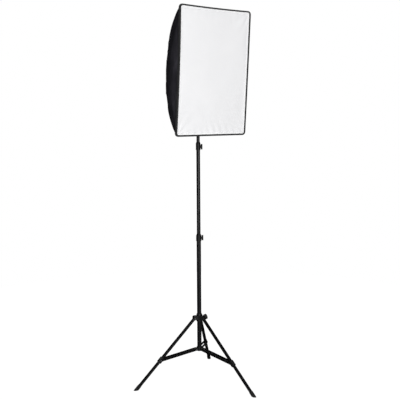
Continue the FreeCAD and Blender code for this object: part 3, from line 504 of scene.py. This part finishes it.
def folds(side, t, arm, run):
    """Height of the cloth's wrinkles at a point, in metres along its outward normal."""
    if side is None:
        return 0.0
    seed = SIDES.index(side) * 7.3
    back, ahead = run, RIB_LENGTH - run
    edge = min(1.0, arm / 0.02)
    # pull lines that fan out of the gathered rear end
    fan = math.sin(t * 15.0 + 2.2 * wave_noise(t * 2.0, seed, 0.0) + seed)
    height = 0.0021 * fan * math.exp(-back / 0.075) * smooth(0.0, 0.02, back)
    # puckers along the rod seams
    ripple = math.sin(2 * math.pi * run / 0.021 + 3.0 * wave_noise(run * 14, seed, t))
    height += 0.0006 * ripple * math.exp(-arm / 0.014)
    # drag lines from the front corners
    reach = math.hypot(arm, ahead)
    angle = math.atan2(ahead + 0.004, arm + 0.004)
    drag = math.sin(angle * 10 + seed) * math.exp(-reach / 0.10)
    height += 0.0022 * drag * smooth(0.0, 0.03, ahead)
    # loose cloth between the rods
    height += 0.0044 * wave_noise(t * 2.4, run * 4.2, seed) * smooth(0.0, 0.06, ahead)
    height += 0.0016 * wave_noise(t * 7.0, run * 11.0, seed + 3)
    ridge = abs(wave_noise(t * 4.0 + 1.7, run * 7.0, seed + 9))
    height += 0.0016 * math.exp(-ridge / 0.05)
    # small gathers at the front edge
    gathers = math.sin(t * 70 + 4 * wave_noise(t * 6, seed, 1.0))
    height += 0.0005 * gathers * math.exp(-ahead / 0.018)
    return height * edge * smooth(0.0, 0.012, ahead)


def slit_outline(count):
    """Closed outline of the mast's slit as (x, depth) with its outward direction."""
    front, rear, h = SLIT_DEPTHS[0] + SLIT_HALF, SLIT_DEPTHS[1] - SLIT_HALF, SLIT_HALF
    straight, arc = rear - front, math.pi * h
    total = 2 * (straight + arc)
    out = []
    for k in range(count):
        s = total * k / count
        if s < straight:
            out.append((h, front + s, 1.0, 0.0))
        elif s < straight + arc:
            a = (s - straight) / h
            out.append((h * math.cos(a), rear + h * math.sin(a), math.cos(a), math.sin(a)))
        elif s < 2 * straight + arc:
            out.append((-h, rear - (s - straight - arc), -1.0, 0.0))
        else:
            a = (s - 2 * straight - arc) / h
            out.append((-h * math.cos(a), front - h * math.sin(a), -math.cos(a), -math.sin(a)))
    return out


def nearest_on_slit(x, depth):
    """Closest point of the slit's outline, and whether the given point is inside it."""
    front, rear, h = SLIT_DEPTHS[0] + SLIT_HALF, SLIT_DEPTHS[1] - SLIT_HALF, SLIT_HALF
    core = min(rear, max(front, depth))
    dx, dd = x, depth - core
    far = math.hypot(dx, dd)
    if far < 1e-9:
        return (h, core), True
    return (dx / far * h, core + dd / far * h), far < h


class Shell:
    """The canopy's cloth as a grid of points round and along the ribs."""

    counts = {"right": 73, "left": 73, "top": 55, "bottom": 61}
    rows = 96

    def __init__(self):
        self.runs = [RIB_LENGTH * k / (self.rows - 1) for k in range(self.rows)]
        self.depths = [float(np.interp(run, RIB_RUN, RIB[:, 0])) for run in self.runs]
        reaches = [float(np.interp(run, RIB_RUN, RIB[:, 1])) for run in self.runs]
        self.rings = [outline(max(depth, 0.0), reach, self.counts)
                      for depth, reach in zip(self.depths, reaches)]
        self.columns = len(self.rings[0])
        self.bottom_start = sum(self.counts[side] + CORNER_POINTS for side in SIDES[:3])
        self.even_slit_columns()
        self.build()

    def even_slit_columns(self):
        """The bottom panel's middle columns keep their x along the slit, where the panel is wide
        enough for that."""
        first = self.bottom_start
        count, fixed = self.counts["bottom"], 17
        lead = (count - fixed) // 2
        for ring, depth in zip(self.rings, self.depths):
            side_half = ring[first + count - 1][0]
            inner = min(0.032, side_half * 0.62)
            base = -ring[first][1]
            for k in range(count):
                if k < lead:
                    x = -side_half + (side_half - inner) * k / lead
                elif k < lead + fixed:
                    x = -inner + 2 * inner * (k - lead) / (fixed - 1)
                else:
                    x = inner + (side_half - inner) * (k - lead - fixed + 1) / lead
                t = x / side_half
                z = -(base + edge_bulge("bottom", t, max(depth, 0.0)))
                ring[first + k] = (x, z, 0, -1, "bottom", t, side_half * (1 - abs(t)))

    def build(self):
        grid = np.zeros((self.rows, self.columns, 3))
        for r, ring in enumerate(self.rings):
            for c, (x, z, *_ignored) in enumerate(ring):
                grid[r, c] = (x, self.depths[r], z)
        normals = self.normals_of(grid)
        for r, ring in enumerate(self.rings):
            for c, (_x, _z, _nx, _nz, side, t, arm) in enumerate(ring):
                lift = folds(side, t, arm, self.runs[r])
                grid[r, c] += normals[r, c] * lift
        self.outer = grid
        self.normals = self.normals_of(grid)

    @staticmethod
    def normals_of(grid):
        """Outward unit normals of a grid in (x, depth, z), closed round its columns."""
        across = np.roll(grid, -1, axis=1) - np.roll(grid, 1, axis=1)
        along = np.empty_like(grid)
        along[1:-1] = grid[2:] - grid[:-2]
        along[0], along[-1] = grid[1] - grid[0], grid[-1] - grid[-2]
        normal = np.cross(across, along)
        normal /= np.maximum(np.linalg.norm(normal, axis=2, keepdims=True), 1e-12)
        inward = (normal[..., 0] * grid[..., 0] + normal[..., 2] * grid[..., 2]).mean() < 0
        return -normal if inward else normal

    def sample(self, run, column):
        """Point and outward normal at a distance along the ribs and a fractional column."""
        r = min(self.rows - 1.001, max(0.0, run / RIB_LENGTH * (self.rows - 1)))
        c0, r0 = int(math.floor(column)), int(r)
        fc, fr = column - c0, r - r0
        c0, c1 = c0 % self.columns, (c0 + 1) % self.columns

        def at(grid):
            near = grid[r0, c0] * (1 - fc) + grid[r0, c1] * fc
            far = grid[r0 + 1, c0] * (1 - fc) + grid[r0 + 1, c1] * fc
            return near * (1 - fr) + far * fr

        x, d, z = at(self.outer)
        nx, nd, nz = at(self.normals)
        return head_point(x, d, z), (HEAD.to_3x3() @ Vector((nx, nd, nz))).normalized()

    def on_bottom(self, x, depth):
        """Point and outward normal of the bottom panel at an x and a depth."""
        columns = range(self.bottom_start, self.bottom_start + self.counts["bottom"])
        r = int(np.searchsorted([-d for d in self.depths], -depth))
        r = min(self.rows - 2, max(0, r - 1))
        fr = (self.depths[r] - depth) / (self.depths[r] - self.depths[r + 1])
        line = self.outer[r] * (1 - fr) + self.outer[r + 1] * fr
        slope = self.normals[r] * (1 - fr) + self.normals[r + 1] * fr
        xs = [line[c][0] for c in columns]
        z = float(np.interp(x, xs, [line[c][2] for c in columns]))
        n = Vector([float(np.interp(x, xs, [slope[c][k] for c in columns])) for k in range(3)])
        return Vector((x, depth, z)), n.normalized()


def make_canopy():
    shell = Shell()
    rows, columns = shell.rows, shell.columns
    inner = shell.outer - shell.normals * CLOTH
    faces = ring_faces(rows, columns)
    moved, keep = set(), []
    for face in faces:
        centre = np.mean([shell.outer[i // columns, i % columns] for i in face], axis=0)
        if centre[2] < 0 and nearest_on_slit(centre[0], centre[1])[1] and abs(centre[0]) < 0.03:
            moved.update(face)
        else:
            keep.append(face)
    for i in moved & {i for face in keep for i in face}:
        r, c = divmod(i, columns)
        for grid in (shell.outer, inner):
            grid[r, c][:2] = nearest_on_slit(grid[r, c][0], grid[r, c][1])[0]
    count = rows * columns
    verts = [head_point(*p) for grid in (shell.outer, inner) for p in grid.reshape(-1, 3)]
    all_faces = [tuple(reversed(f)) for f in keep] + [tuple(i + count for i in f) for f in keep]
    kinds = [0] * len(keep) + [1] * len(keep)
    edges = dict.fromkeys((a, b) for face in keep for a, b in zip(face, face[1:] + face[:1]))
    for a, b in edges:
        if (b, a) not in edges:
            all_faces.append((a, b, b + count, a + count))
            kinds.append(0)
    obj = new_piece("canopy_cloth", verts, all_faces, [NYLON, SILVER], kinds)
    remove_loose(obj)
    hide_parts("canopy_left", "canopy_right", "canopy_top", "canopy_bottom")
    return shell


def remove_loose(obj):
    """Delete the points that no face uses and turn every face outward."""
    mesh = bmesh.new()
    mesh.from_mesh(obj.data)
    loose = [v for v in mesh.verts if not v.link_faces]
    bmesh.ops.delete(mesh, geom=loose, context="VERTS")
    bmesh.ops.recalc_face_normals(mesh, faces=mesh.faces)
    mesh.to_mesh(obj.data)
    mesh.free()


def corner_columns(shell):
    """Column of each seam's middle, in the order of the corners."""
    found, start = [], 0
    for side in SIDES:
        start += shell.counts[side]
        found.append(start + CORNER_POINTS // 2)
        start += CORNER_POINTS
    return found


SEAM_ROUND, SEAM_STITCH = 0.0125, 0.0041


def make_seams(shell):
    """A felled seam over each rod: a rounded welt of cloth and two rows of stitching."""
    rows_of_stitches, verts, faces, along = [], [], [], []
    for column in corner_columns(shell):
        base, steps = len(verts), 150
        profile = ((-0.0060, -0.0003), (-0.0052, 0.0006), (-0.0030, 0.0009), (-0.0012, 0.0016),
                   (0.0, 0.0019), (0.0012, 0.0016), (0.0030, 0.0009), (0.0052, 0.0006),
                   (0.0060, -0.0003))
        left, right = [], []
        for k in range(steps):
            run = 0.004 + (RIB_LENGTH - 0.012) * k / (steps - 1)
            point, normal = shell.sample(run, column)
            ahead = (shell.sample(run + 0.002, column)[0] - point).normalized()
            side = ahead.cross(normal).normalized()
            wobble = 0.0003 * wave_noise(run * 60, column, 0.0)
            for u, v in profile:
                drop = u * u / (2 * SEAM_ROUND)
                verts.append(point + side * (u + wobble) + normal * (v - drop))
                along.append(run)
            lift = normal * (0.00075 - SEAM_STITCH ** 2 / (2 * SEAM_ROUND))
            left.append((point - side * SEAM_STITCH + lift, normal))
            right.append((point + side * SEAM_STITCH + lift, normal))
        faces += [tuple(base + i for i in face)
                  for face in ring_faces(steps, len(profile), wrap_columns=False)]
        rows_of_stitches += [left, right]
    welt = new_piece("canopy_seams", verts, faces, [SLIT_TAPE])
    set_along(welt, along)
    thread_piece = stitches("canopy_seam_stitching", rows_of_stitches, THREAD_BLACK)


SLIT_STITCH = (0.0066, 0.0016)


def make_slit_binding(shell):
    """Tape folded over the slit's edge, with its stitching."""
    profile = ((0.0085, 0.0003), (0.0083, 0.0013), (0.0045, 0.0018), (0.0008, 0.0017),
               (-0.0008, 0.0011), (-0.0014, -0.0004), (-0.0008, -0.0021), (0.0010, -0.0027),
               (0.0050, -0.0026), (0.0085, -0.0019))
    verts, row, along, total = [], [], [], 0.0
    loop = slit_outline(140)
    last = None
    for x, depth, ox, od in loop:
        base, normal = shell.on_bottom(x, depth)
        out, _n = shell.on_bottom(x + ox * 0.006, depth + od * 0.006)
        outward = (out - base).normalized()
        if last is not None:
            total += (base - last).length
        last = base
        wobble = 1 + 0.05 * wave_noise(total * 80, 3.0, 0.0)
        for u, v in profile:
            p = base + outward * (u * wobble) + normal * v
            verts.append(head_point(p.x, p.y, p.z))
            along.append(total)
        p = base + outward * SLIT_STITCH[0] + normal * SLIT_STITCH[1]
        row.append((head_point(p.x, p.y, p.z), (HEAD.to_3x3() @ normal).normalized()))
    faces = ring_faces(len(loop), len(profile), wrap_rows=True)
    obj = new_piece("slit_binding", verts, faces, [SLIT_TAPE])
    set_along(obj, along)
    remove_loose(obj)
    thread_piece = stitches("slit_stitching", [row + row[:1]], THREAD_BLACK)


# ---------------------------------------------------------------- face: binding, diffuser, hem

def face_loop(spacing):
    """Closed line round the canopy's front edge: (x, z, outward x, outward z, s)."""
    counts = {side: int((FACE_H if OUT[side][0] else FACE_W) / spacing) for side in SIDES}
    ring = outline(0.0, REACH, counts)
    out, total, last = [], 0.0, None
    for x, z, nx, nz, side, t, _arm in ring:
        if last is not None:
            total += math.hypot(x - last[0], z - last[1])
        last = (x, z)
        if side is not None:
            slope = 2 * t * FRONT_BOW[side] / (FACE_H / 2 if OUT[side][0] else FACE_W / 2)
            along = ALONG[side]
            nx, nz = nx - slope * along[0], nz - slope * along[1]
            size = math.hypot(nx, nz)
            nx, nz = nx / size, nz / size
        out.append((x, z, nx, nz, total))
    return out


# the binding's two rows of stitching: outward from the edge, depth
FRONT_STITCH, SIDE_STITCH = (-0.0068, -0.0021), (0.00045, 0.0088)


def make_binding():
    """Edge tape folded over the canopy's front: a front flap, a rounded edge and a side flap."""
    profile = ((-0.0080, 0.0018), (-0.0083, 0.0006), (-0.0078, -0.0008), (-0.0064, -0.0022),
               (-0.0044, -0.0031), (-0.0024, -0.0029), (-0.0008, -0.0018), (0.0003, 0.0),
               (0.0008, 0.0022), (0.0009, 0.0046), (0.0006, 0.0072), (0.0003, 0.0102),
               (-0.0004, 0.0108), (-0.0013, 0.0104), (-0.0015, 0.0060), (-0.0020, 0.0034),
               (-0.0034, 0.0024), (-0.0060, 0.0022))
    loop = face_loop(0.0035)
    verts, along, front_row, side_row = [], [], [], []
    turn = HEAD.to_3x3()
    for x, z, nx, nz, s in loop:
        wide = 0.0002 + 0.0019 * abs(nx) + 0.0004 * nx - 0.0006 * nz
        wide += 0.00035 * wave_noise(s * 22, 1.0, 0.0)
        puff = 0.00025 * wave_noise(s * 45, 5.0, 0.0)
        for u, v in profile:
            uu = u - wide if u < -0.004 else u
            vv = v - puff if v < 0.0 else v
            verts.append(head_point(x + nx * uu, vv, z + nz * uu))
            along.append(s)
        slant = turn @ Vector((-0.72 * nx, -0.69, -0.72 * nz))
        flat_out = turn @ Vector((nx, 0, nz))
        for row, (u, v), normal in ((front_row, FRONT_STITCH, slant), (side_row, SIDE_STITCH, flat_out)):
            row.append((head_point(x + nx * u, v, z + nz * u), normal))
    faces = ring_faces(len(loop), len(profile), wrap_rows=True)
    obj = new_piece("front_binding_tape", verts, faces, [BINDING])
    set_along(obj, along)
    remove_loose(obj)
    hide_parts("front_binding")
    rows = [front_row + front_row[:1], side_row + side_row[:1]]
    thread_piece = stitches("front_binding_stitching", rows, THREAD_BLACK)


DIFFUSER_INSET, RELIEF_INSET, DIFFUSER_ROUND = 0.004, 0.008, 0.016


def sheet_relief(x, z):
    """How far the diffuser's cloth stands off its plane: slack, edge puckers, corner pulls."""
    half_w, half_h = FACE_W / 2 - RELIEF_INSET, FACE_H / 2 - RELIEF_INSET
    to_side, to_end = half_w - abs(x), half_h - abs(z)
    edge = min(to_side, to_end)
    hold = smooth(0.0, 0.035, edge)
    relief = 0.0030 * wave_noise(x * 4.0, z * 3.2, 2.0) * hold
    relief += 0.0010 * wave_noise(x * 13.0, z * 9.0, 5.0) * hold
    corner = math.hypot(to_side, to_end)
    angle = math.atan2(to_side + 0.002, to_end + 0.002)
    quarter = (1 if x > 0 else 0) + (2 if z > 0 else 0)
    strong = (1.5, 0.8, 0.8, 1.4)[quarter]
    fan = math.sin(angle * 12 + quarter * 1.7) * math.exp(-corner / 0.11)
    relief += 0.0011 * strong * fan * smooth(0, 0.02, edge)
    along = z if to_side < to_end else x
    pitch = 0.047 + 0.012 * wave_noise(along * 5, quarter, 3.0)
    pucker = math.sin(2 * math.pi * along / pitch) * math.exp(-edge / 0.03)
    relief += 0.0010 * pucker * smooth(0, 0.006, edge)
    # creases over the mast, at the bottom edge
    low = math.exp(-(to_end / 0.06) ** 2) if z < 0 else 0.0
    crease = math.sin((x * 1.2 + z * 0.5) * 110) * math.exp(-((x - 0.03) / 0.10) ** 2)
    relief += 0.0018 * low * crease * hold
    return relief


def make_diffuser():
    """The stretched front cloth: a grid with rounded corners, its sides following the bowed rim."""
    columns, rows = 132, 184
    width, height = FACE_W - 2 * DIFFUSER_INSET, FACE_H - 2 * DIFFUSER_INSET
    verts = []
    for j in range(rows):
        for i in range(columns):
            u, w = -1 + 2 * i / (columns - 1), -1 + 2 * j / (rows - 1)
            side, end = ("right" if u > 0 else "left"), ("top" if w > 0 else "bottom")
            x = u * (width / 2 - FRONT_BOW[side] * (1 - w * w) * abs(u) ** 6)
            z = w * (height / 2 - FRONT_BOW[end] * (1 - u * u) * abs(w) ** 6)
            past_x = DIFFUSER_ROUND - (1 - abs(u)) * width / 2
            past_z = DIFFUSER_ROUND - (1 - abs(w)) * height / 2
            if past_x > 0 and past_z > 0:
                pull = 1 - max(past_x, past_z) / math.hypot(past_x, past_z)
                x -= math.copysign(past_x * pull, x)
                z -= math.copysign(past_z * pull, z)
            verts.append(head_point(x, 0.0030 - sheet_relief(x, z), z))
    faces = ring_faces(rows, columns, wrap_columns=False)
    obj = new_piece("diffuser_cloth", verts, faces, [CLOTH_WHITE])
    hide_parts("diffuser")
    return obj, width, height


HEM_STITCH = 0.0162


def make_hem():
    """The diffuser's folded hem: a second layer round its edge, with one row of stitching."""
    loop = face_loop(0.004)
    profile = ((-0.0050, 0.0022), (-0.0070, 0.0012), (-0.0100, 0.0010), (-0.0140, 0.0011),
               (-0.0175, 0.0014), (-0.0186, 0.0022), (-0.0180, 0.0030))
    verts, along, row = [], [], []
    turn = HEAD.to_3x3()
    for x, z, nx, nz, s in loop:
        ripple = 0.0004 * math.sin(2 * math.pi * s / 0.043 + 2 * wave_noise(s * 6, 0, 0))
        ripple += 0.0003 * wave_noise(s * 60, 2.0, 0.0)
        wide = 0.0007 * wave_noise(s * 9, 7.0, 0.0)
        for u, v in profile:
            uu = u - wide if u < -0.016 else u
            xx, zz = x + nx * uu, z + nz * uu
            lift = sheet_relief(xx, zz) * smooth(-0.012, -0.018, u) if u < -0.012 else 0.0
            verts.append(head_point(xx, v - ripple * smooth(-0.008, -0.013, -abs(u)) - lift, zz))
            along.append(s)
        seam = head_point(x - nx * HEM_STITCH, 0.0011 - ripple, z - nz * HEM_STITCH)
        row.append((seam, turn @ Vector((0, -1, 0))))
    faces = ring_faces(len(loop), len(profile), wrap_rows=True, wrap_columns=False)
    obj = new_piece("diffuser_hem", verts, faces, [HEM_WHITE])
    set_along(obj, along)
    thread_piece = stitches("diffuser_stitching", [row + row[:1]], THREAD_WHITE, radius=0.00028)
    return [obj, thread_piece]


# ---------------------------------------------------------------- rear cuff

PLEATS, CUFF_ROUND = 46, 0.0125


def make_cuff():
    """Gathered casing round the rod hub: pleated cloth drawn in by a band of ribbed elastic."""
    verts, along, columns = [], [], 360
    # each stage: depth, half width, half height, depth of the pleats
    stages = ((0.3165, 0.0382, 0.0530, 0.0000), (0.3200, 0.0392, 0.0540, 0.0006),
              (0.3235, 0.0388, 0.0532, 0.0010), (0.3262, 0.0374, 0.0512, 0.0008),
              (0.3285, 0.0368, 0.0502, 0.0005), (0.3310, 0.0364, 0.0496, 0.0006),
              (0.3325, 0.0356, 0.0487, 0.0004), (0.3328, 0.0346, 0.0476, 0.0003),
              (0.3316, 0.0340, 0.0470, 0.0002), (0.3290, 0.0338, 0.0468, 0.0000))
    for depth, half_w, half_h, pleat in stages:
        perimeter = 4 * (half_w + half_h - 2 * CUFF_ROUND) + 2 * math.pi * CUFF_ROUND
        for k in range(columns):
            s = perimeter * k / columns
            x, z, nx, nz = round_rect(half_w, half_h, CUFF_ROUND, s)
            phase = 2 * math.pi * PLEATS * k / columns + 1.5 * wave_noise(k * 0.05, depth * 40, 0)
            gather = pleat * (math.sin(phase) + 0.6 * wave_noise(k * 0.11, depth * 90, 4.0))
            verts.append(head_point(x + nx * gather, depth, z + nz * gather))
            along.append(s)
    faces = [tuple(reversed(f)) for f in ring_faces(len(stages), columns)]
    kinds = [0 if i // columns < 3 else 1 for i in range(len(faces))]
    obj = new_piece("rear_cuff_gathers", verts, faces, [NYLON, ELASTIC], kinds)
    set_along(obj, along)
    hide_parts("rear_cuff")


def round_rect(half_w, half_h, r, s):
    """Point and outward direction at a distance round a rounded rectangle."""
    arcs = math.pi / 2 * r
    legs = (("right", 2 * (half_h - r)), ("top", 2 * (half_w - r)), ("left", 2 * (half_h - r)),
            ("bottom", 2 * (half_w - r)))
    for side, length in legs:
        out, ahead = OUT[side], ALONG[side]
        w, u = (half_w, half_h) if out[0] else (half_h, half_w)
        if s <= length:
            go = s - length / 2
            return out[0] * w + ahead[0] * go, out[1] * w + ahead[1] * go, out[0], out[1]
        s -= length
        if s <= arcs:
            a = s / r
            nx = out[0] * math.cos(a) + ahead[0] * math.sin(a)
            nz = out[1] * math.cos(a) + ahead[1] * math.sin(a)
            cx, cz = out[0] * (w - r) + ahead[0] * (u - r), out[1] * (w - r) + ahead[1] * (u - r)
            return cx + r * nx, cz + r * nz, nx, nz
        s -= arcs
    return half_w, -(half_h - r), 1.0, 0.0


# ---------------------------------------------------------------- lamp

def tube_along(points, radius):
    """Round tube mesh with closed ends along a smooth line of points."""
    verts, sides = [], 14
    up = Vector((0, 0, 1))
    for k, point in enumerate(points):
        ahead = (points[min(k + 1, len(points) - 1)] - points[max(k - 1, 0)]).normalized()
        side = ahead.cross(up)
        side = side.normalized() if side.length > 1e-6 else Vector((1, 0, 0))
        up = side.cross(ahead).normalized()
        for q in range(sides):
            a = 2 * math.pi * q / sides
            verts.append(point + (side * math.cos(a) + up * math.sin(a)) * radius)
    faces = ring_faces(len(points), sides)
    faces.append(tuple(range(sides - 1, -1, -1)))
    faces.append(tuple((len(points) - 1) * sides + q for q in range(sides)))
    return verts, faces


def make_lamp():
    """Spiral lamp: one tube that climbs from the ballast, crosses over the tip and winds back."""
    base_depth, tip_depth = 0.192, 0.0965
    ring, tube, turns, rise = 0.0208, 0.0066, 3.1, 0.0045
    steps, bridge_steps = 150, 14
    line = []
    for k in range(steps):
        share = k / (steps - 1)
        angle = 2 * math.pi * turns * share
        depth = base_depth + (tip_depth - base_depth) * share
        r = ring * (1 - 0.12 * smooth(0.86, 1.0, share))
        line.append((r * math.cos(angle), depth, r * math.sin(angle)))
    last = line[-1]
    bridge = []
    for k in range(1, bridge_steps):
        a = math.pi * k / bridge_steps
        reach = math.cos(a)
        bridge.append((last[0] * reach, tip_depth - rise * math.sin(a), last[2] * reach))
    back = [(-x, depth, -z) for x, depth, z in reversed(line)]
    points = [head_point(x, d, z) for x, d, z in line + bridge + back]
    verts, faces = tube_along(points, tube)
    obj = new_piece("lamp_spiral", verts, faces, [LAMP_TUBE])
    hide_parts("bulb_spiral")


# ---------------------------------------------------------------- room, light, camera

WORLD_LIGHT = 0.02
FLOOR_R, FLOOR_DROP = 3.0, 0.0004


def make_room():
    """Grey paper floor whose white only the camera sees, and a dim world that it sees as white."""
    m = Nodes("floor_paper")
    cloud = m.noise(3.0, 3.0, 0.5)
    away = m.add("ShaderNodeVectorMath", {0: m.coords}, operation="LENGTH").outputs["Value"]
    seen = m.add("ShaderNodeLightPath").outputs["Is Camera Ray"]
    m.set(Base_Color=m.mix(m.span(cloud, 0.3, 0.7), (0.16, 0.16, 0.16), (0.15, 0.15, 0.15)),
          Roughness=m.span(cloud, 0.2, 0.8, 0.85, 0.95), Specular_IOR_Level=0.1,
          Emission_Color=(1, 1, 1, 1),
          Emission_Strength=m.math("MULTIPLY", seen, m.span(away, 0.2, 2.8, 0.97, 1.01)))
    steps = 96
    turns = [2 * math.pi * k / steps for k in range(steps)]
    verts = [(0, 0, -FLOOR_DROP)]
    verts += [(FLOOR_R * math.cos(a), FLOOR_R * math.sin(a), -FLOOR_DROP) for a in turns]
    faces = [(0, 1 + k, 1 + (k + 1) % steps) for k in range(steps)]
    floor = new_piece("studio_floor", verts, faces, [m.material], body=None, flat=True)

    world = bpy.data.worlds.new("studio")
    bpy.context.scene.world = world
    world.use_nodes = True
    tree = world.node_tree
    sky = tree.nodes["Background"]
    seen = tree.nodes.new("ShaderNodeLightPath").outputs["Is Camera Ray"]
    level = tree.nodes.new("ShaderNodeMapRange")
    level.inputs["To Min"].default_value = WORLD_LIGHT
    level.inputs["To Max"].default_value = 1.0
    tree.links.new(seen, level.inputs["Value"])
    tree.links.new(level.outputs[0], sky.inputs["Strength"])
    sky.inputs["Color"].default_value = (1, 1, 1, 1)


def area_light(name, place, target, size, power):
    data = bpy.data.lights.new(name, "AREA")
    data.shape = "RECTANGLE"
    data.size, data.size_y = size
    data.energy = power
    light = bpy.data.objects.new(name, data)
    light.location = place
    light.rotation_euler = (Vector(target) - Vector(place)).to_track_quat("-Z", "Y").to_euler()
    light.visible_camera = False
    bpy.context.scene.collection.objects.link(light)


def make_lights():
    area_light("overhead", (0.3, -0.6, 4.6), (0.0, 0.0, 0.0), (5.0, 5.0), 62.0)
    area_light("key", (0.3, -4.7, 0.8), (0.0, 0.0, 1.3), (1.2, 2.6), 30.0)
    area_light("fill", (-2.2, -4.3, 1.1), (0.0, 0.0, 1.5), (1.5, 2.0), 218.0)
    area_light("behind", (2.6, 3.4, 2.4), (0.0, 0.0, 1.6), (2.0, 2.0), 45.0)


CAMERA_PLACE, LENS, SENSOR_WIDTH = (-2.519, -3.227, 1.591), 63.3, 36.0


def make_camera():
    data = bpy.data.cameras.new("camera")
    data.lens, data.sensor_width = LENS, SENSOR_WIDTH
    camera = bpy.data.objects.new("camera", data)
    # heading from +Y towards +X, pitch downwards
    heading, pitch, roll = math.radians(38.10), math.radians(6.833), math.radians(-0.362)
    ahead = Vector((math.sin(heading) * math.cos(pitch), math.cos(heading) * math.cos(pitch),
                    -math.sin(pitch)))
    right = Vector((math.cos(heading), -math.sin(heading), 0))
    up = right.cross(ahead)
    turned_right = right * math.cos(roll) + up * math.sin(roll)
    turned_up = up * math.cos(roll) - right * math.sin(roll)
    rotation = Matrix((turned_right, turned_up, -ahead)).transposed()
    camera.matrix_world = Matrix.Translation(CAMERA_PLACE) @ rotation.to_4x4()
    bpy.context.scene.collection.objects.link(camera)
    bpy.context.scene.camera = camera


# ---------------------------------------------------------------- build

bpy.context.scene.view_settings.view_transform = "Standard"
make_camera()
make_room()
make_lights()
canopy = make_canopy()
make_seams(canopy)
make_slit_binding(canopy)
make_binding()
diffuser, cut_width, cut_height = make_diffuser()
with_diffuser = make_hem()
make_cuff()
make_lamp()
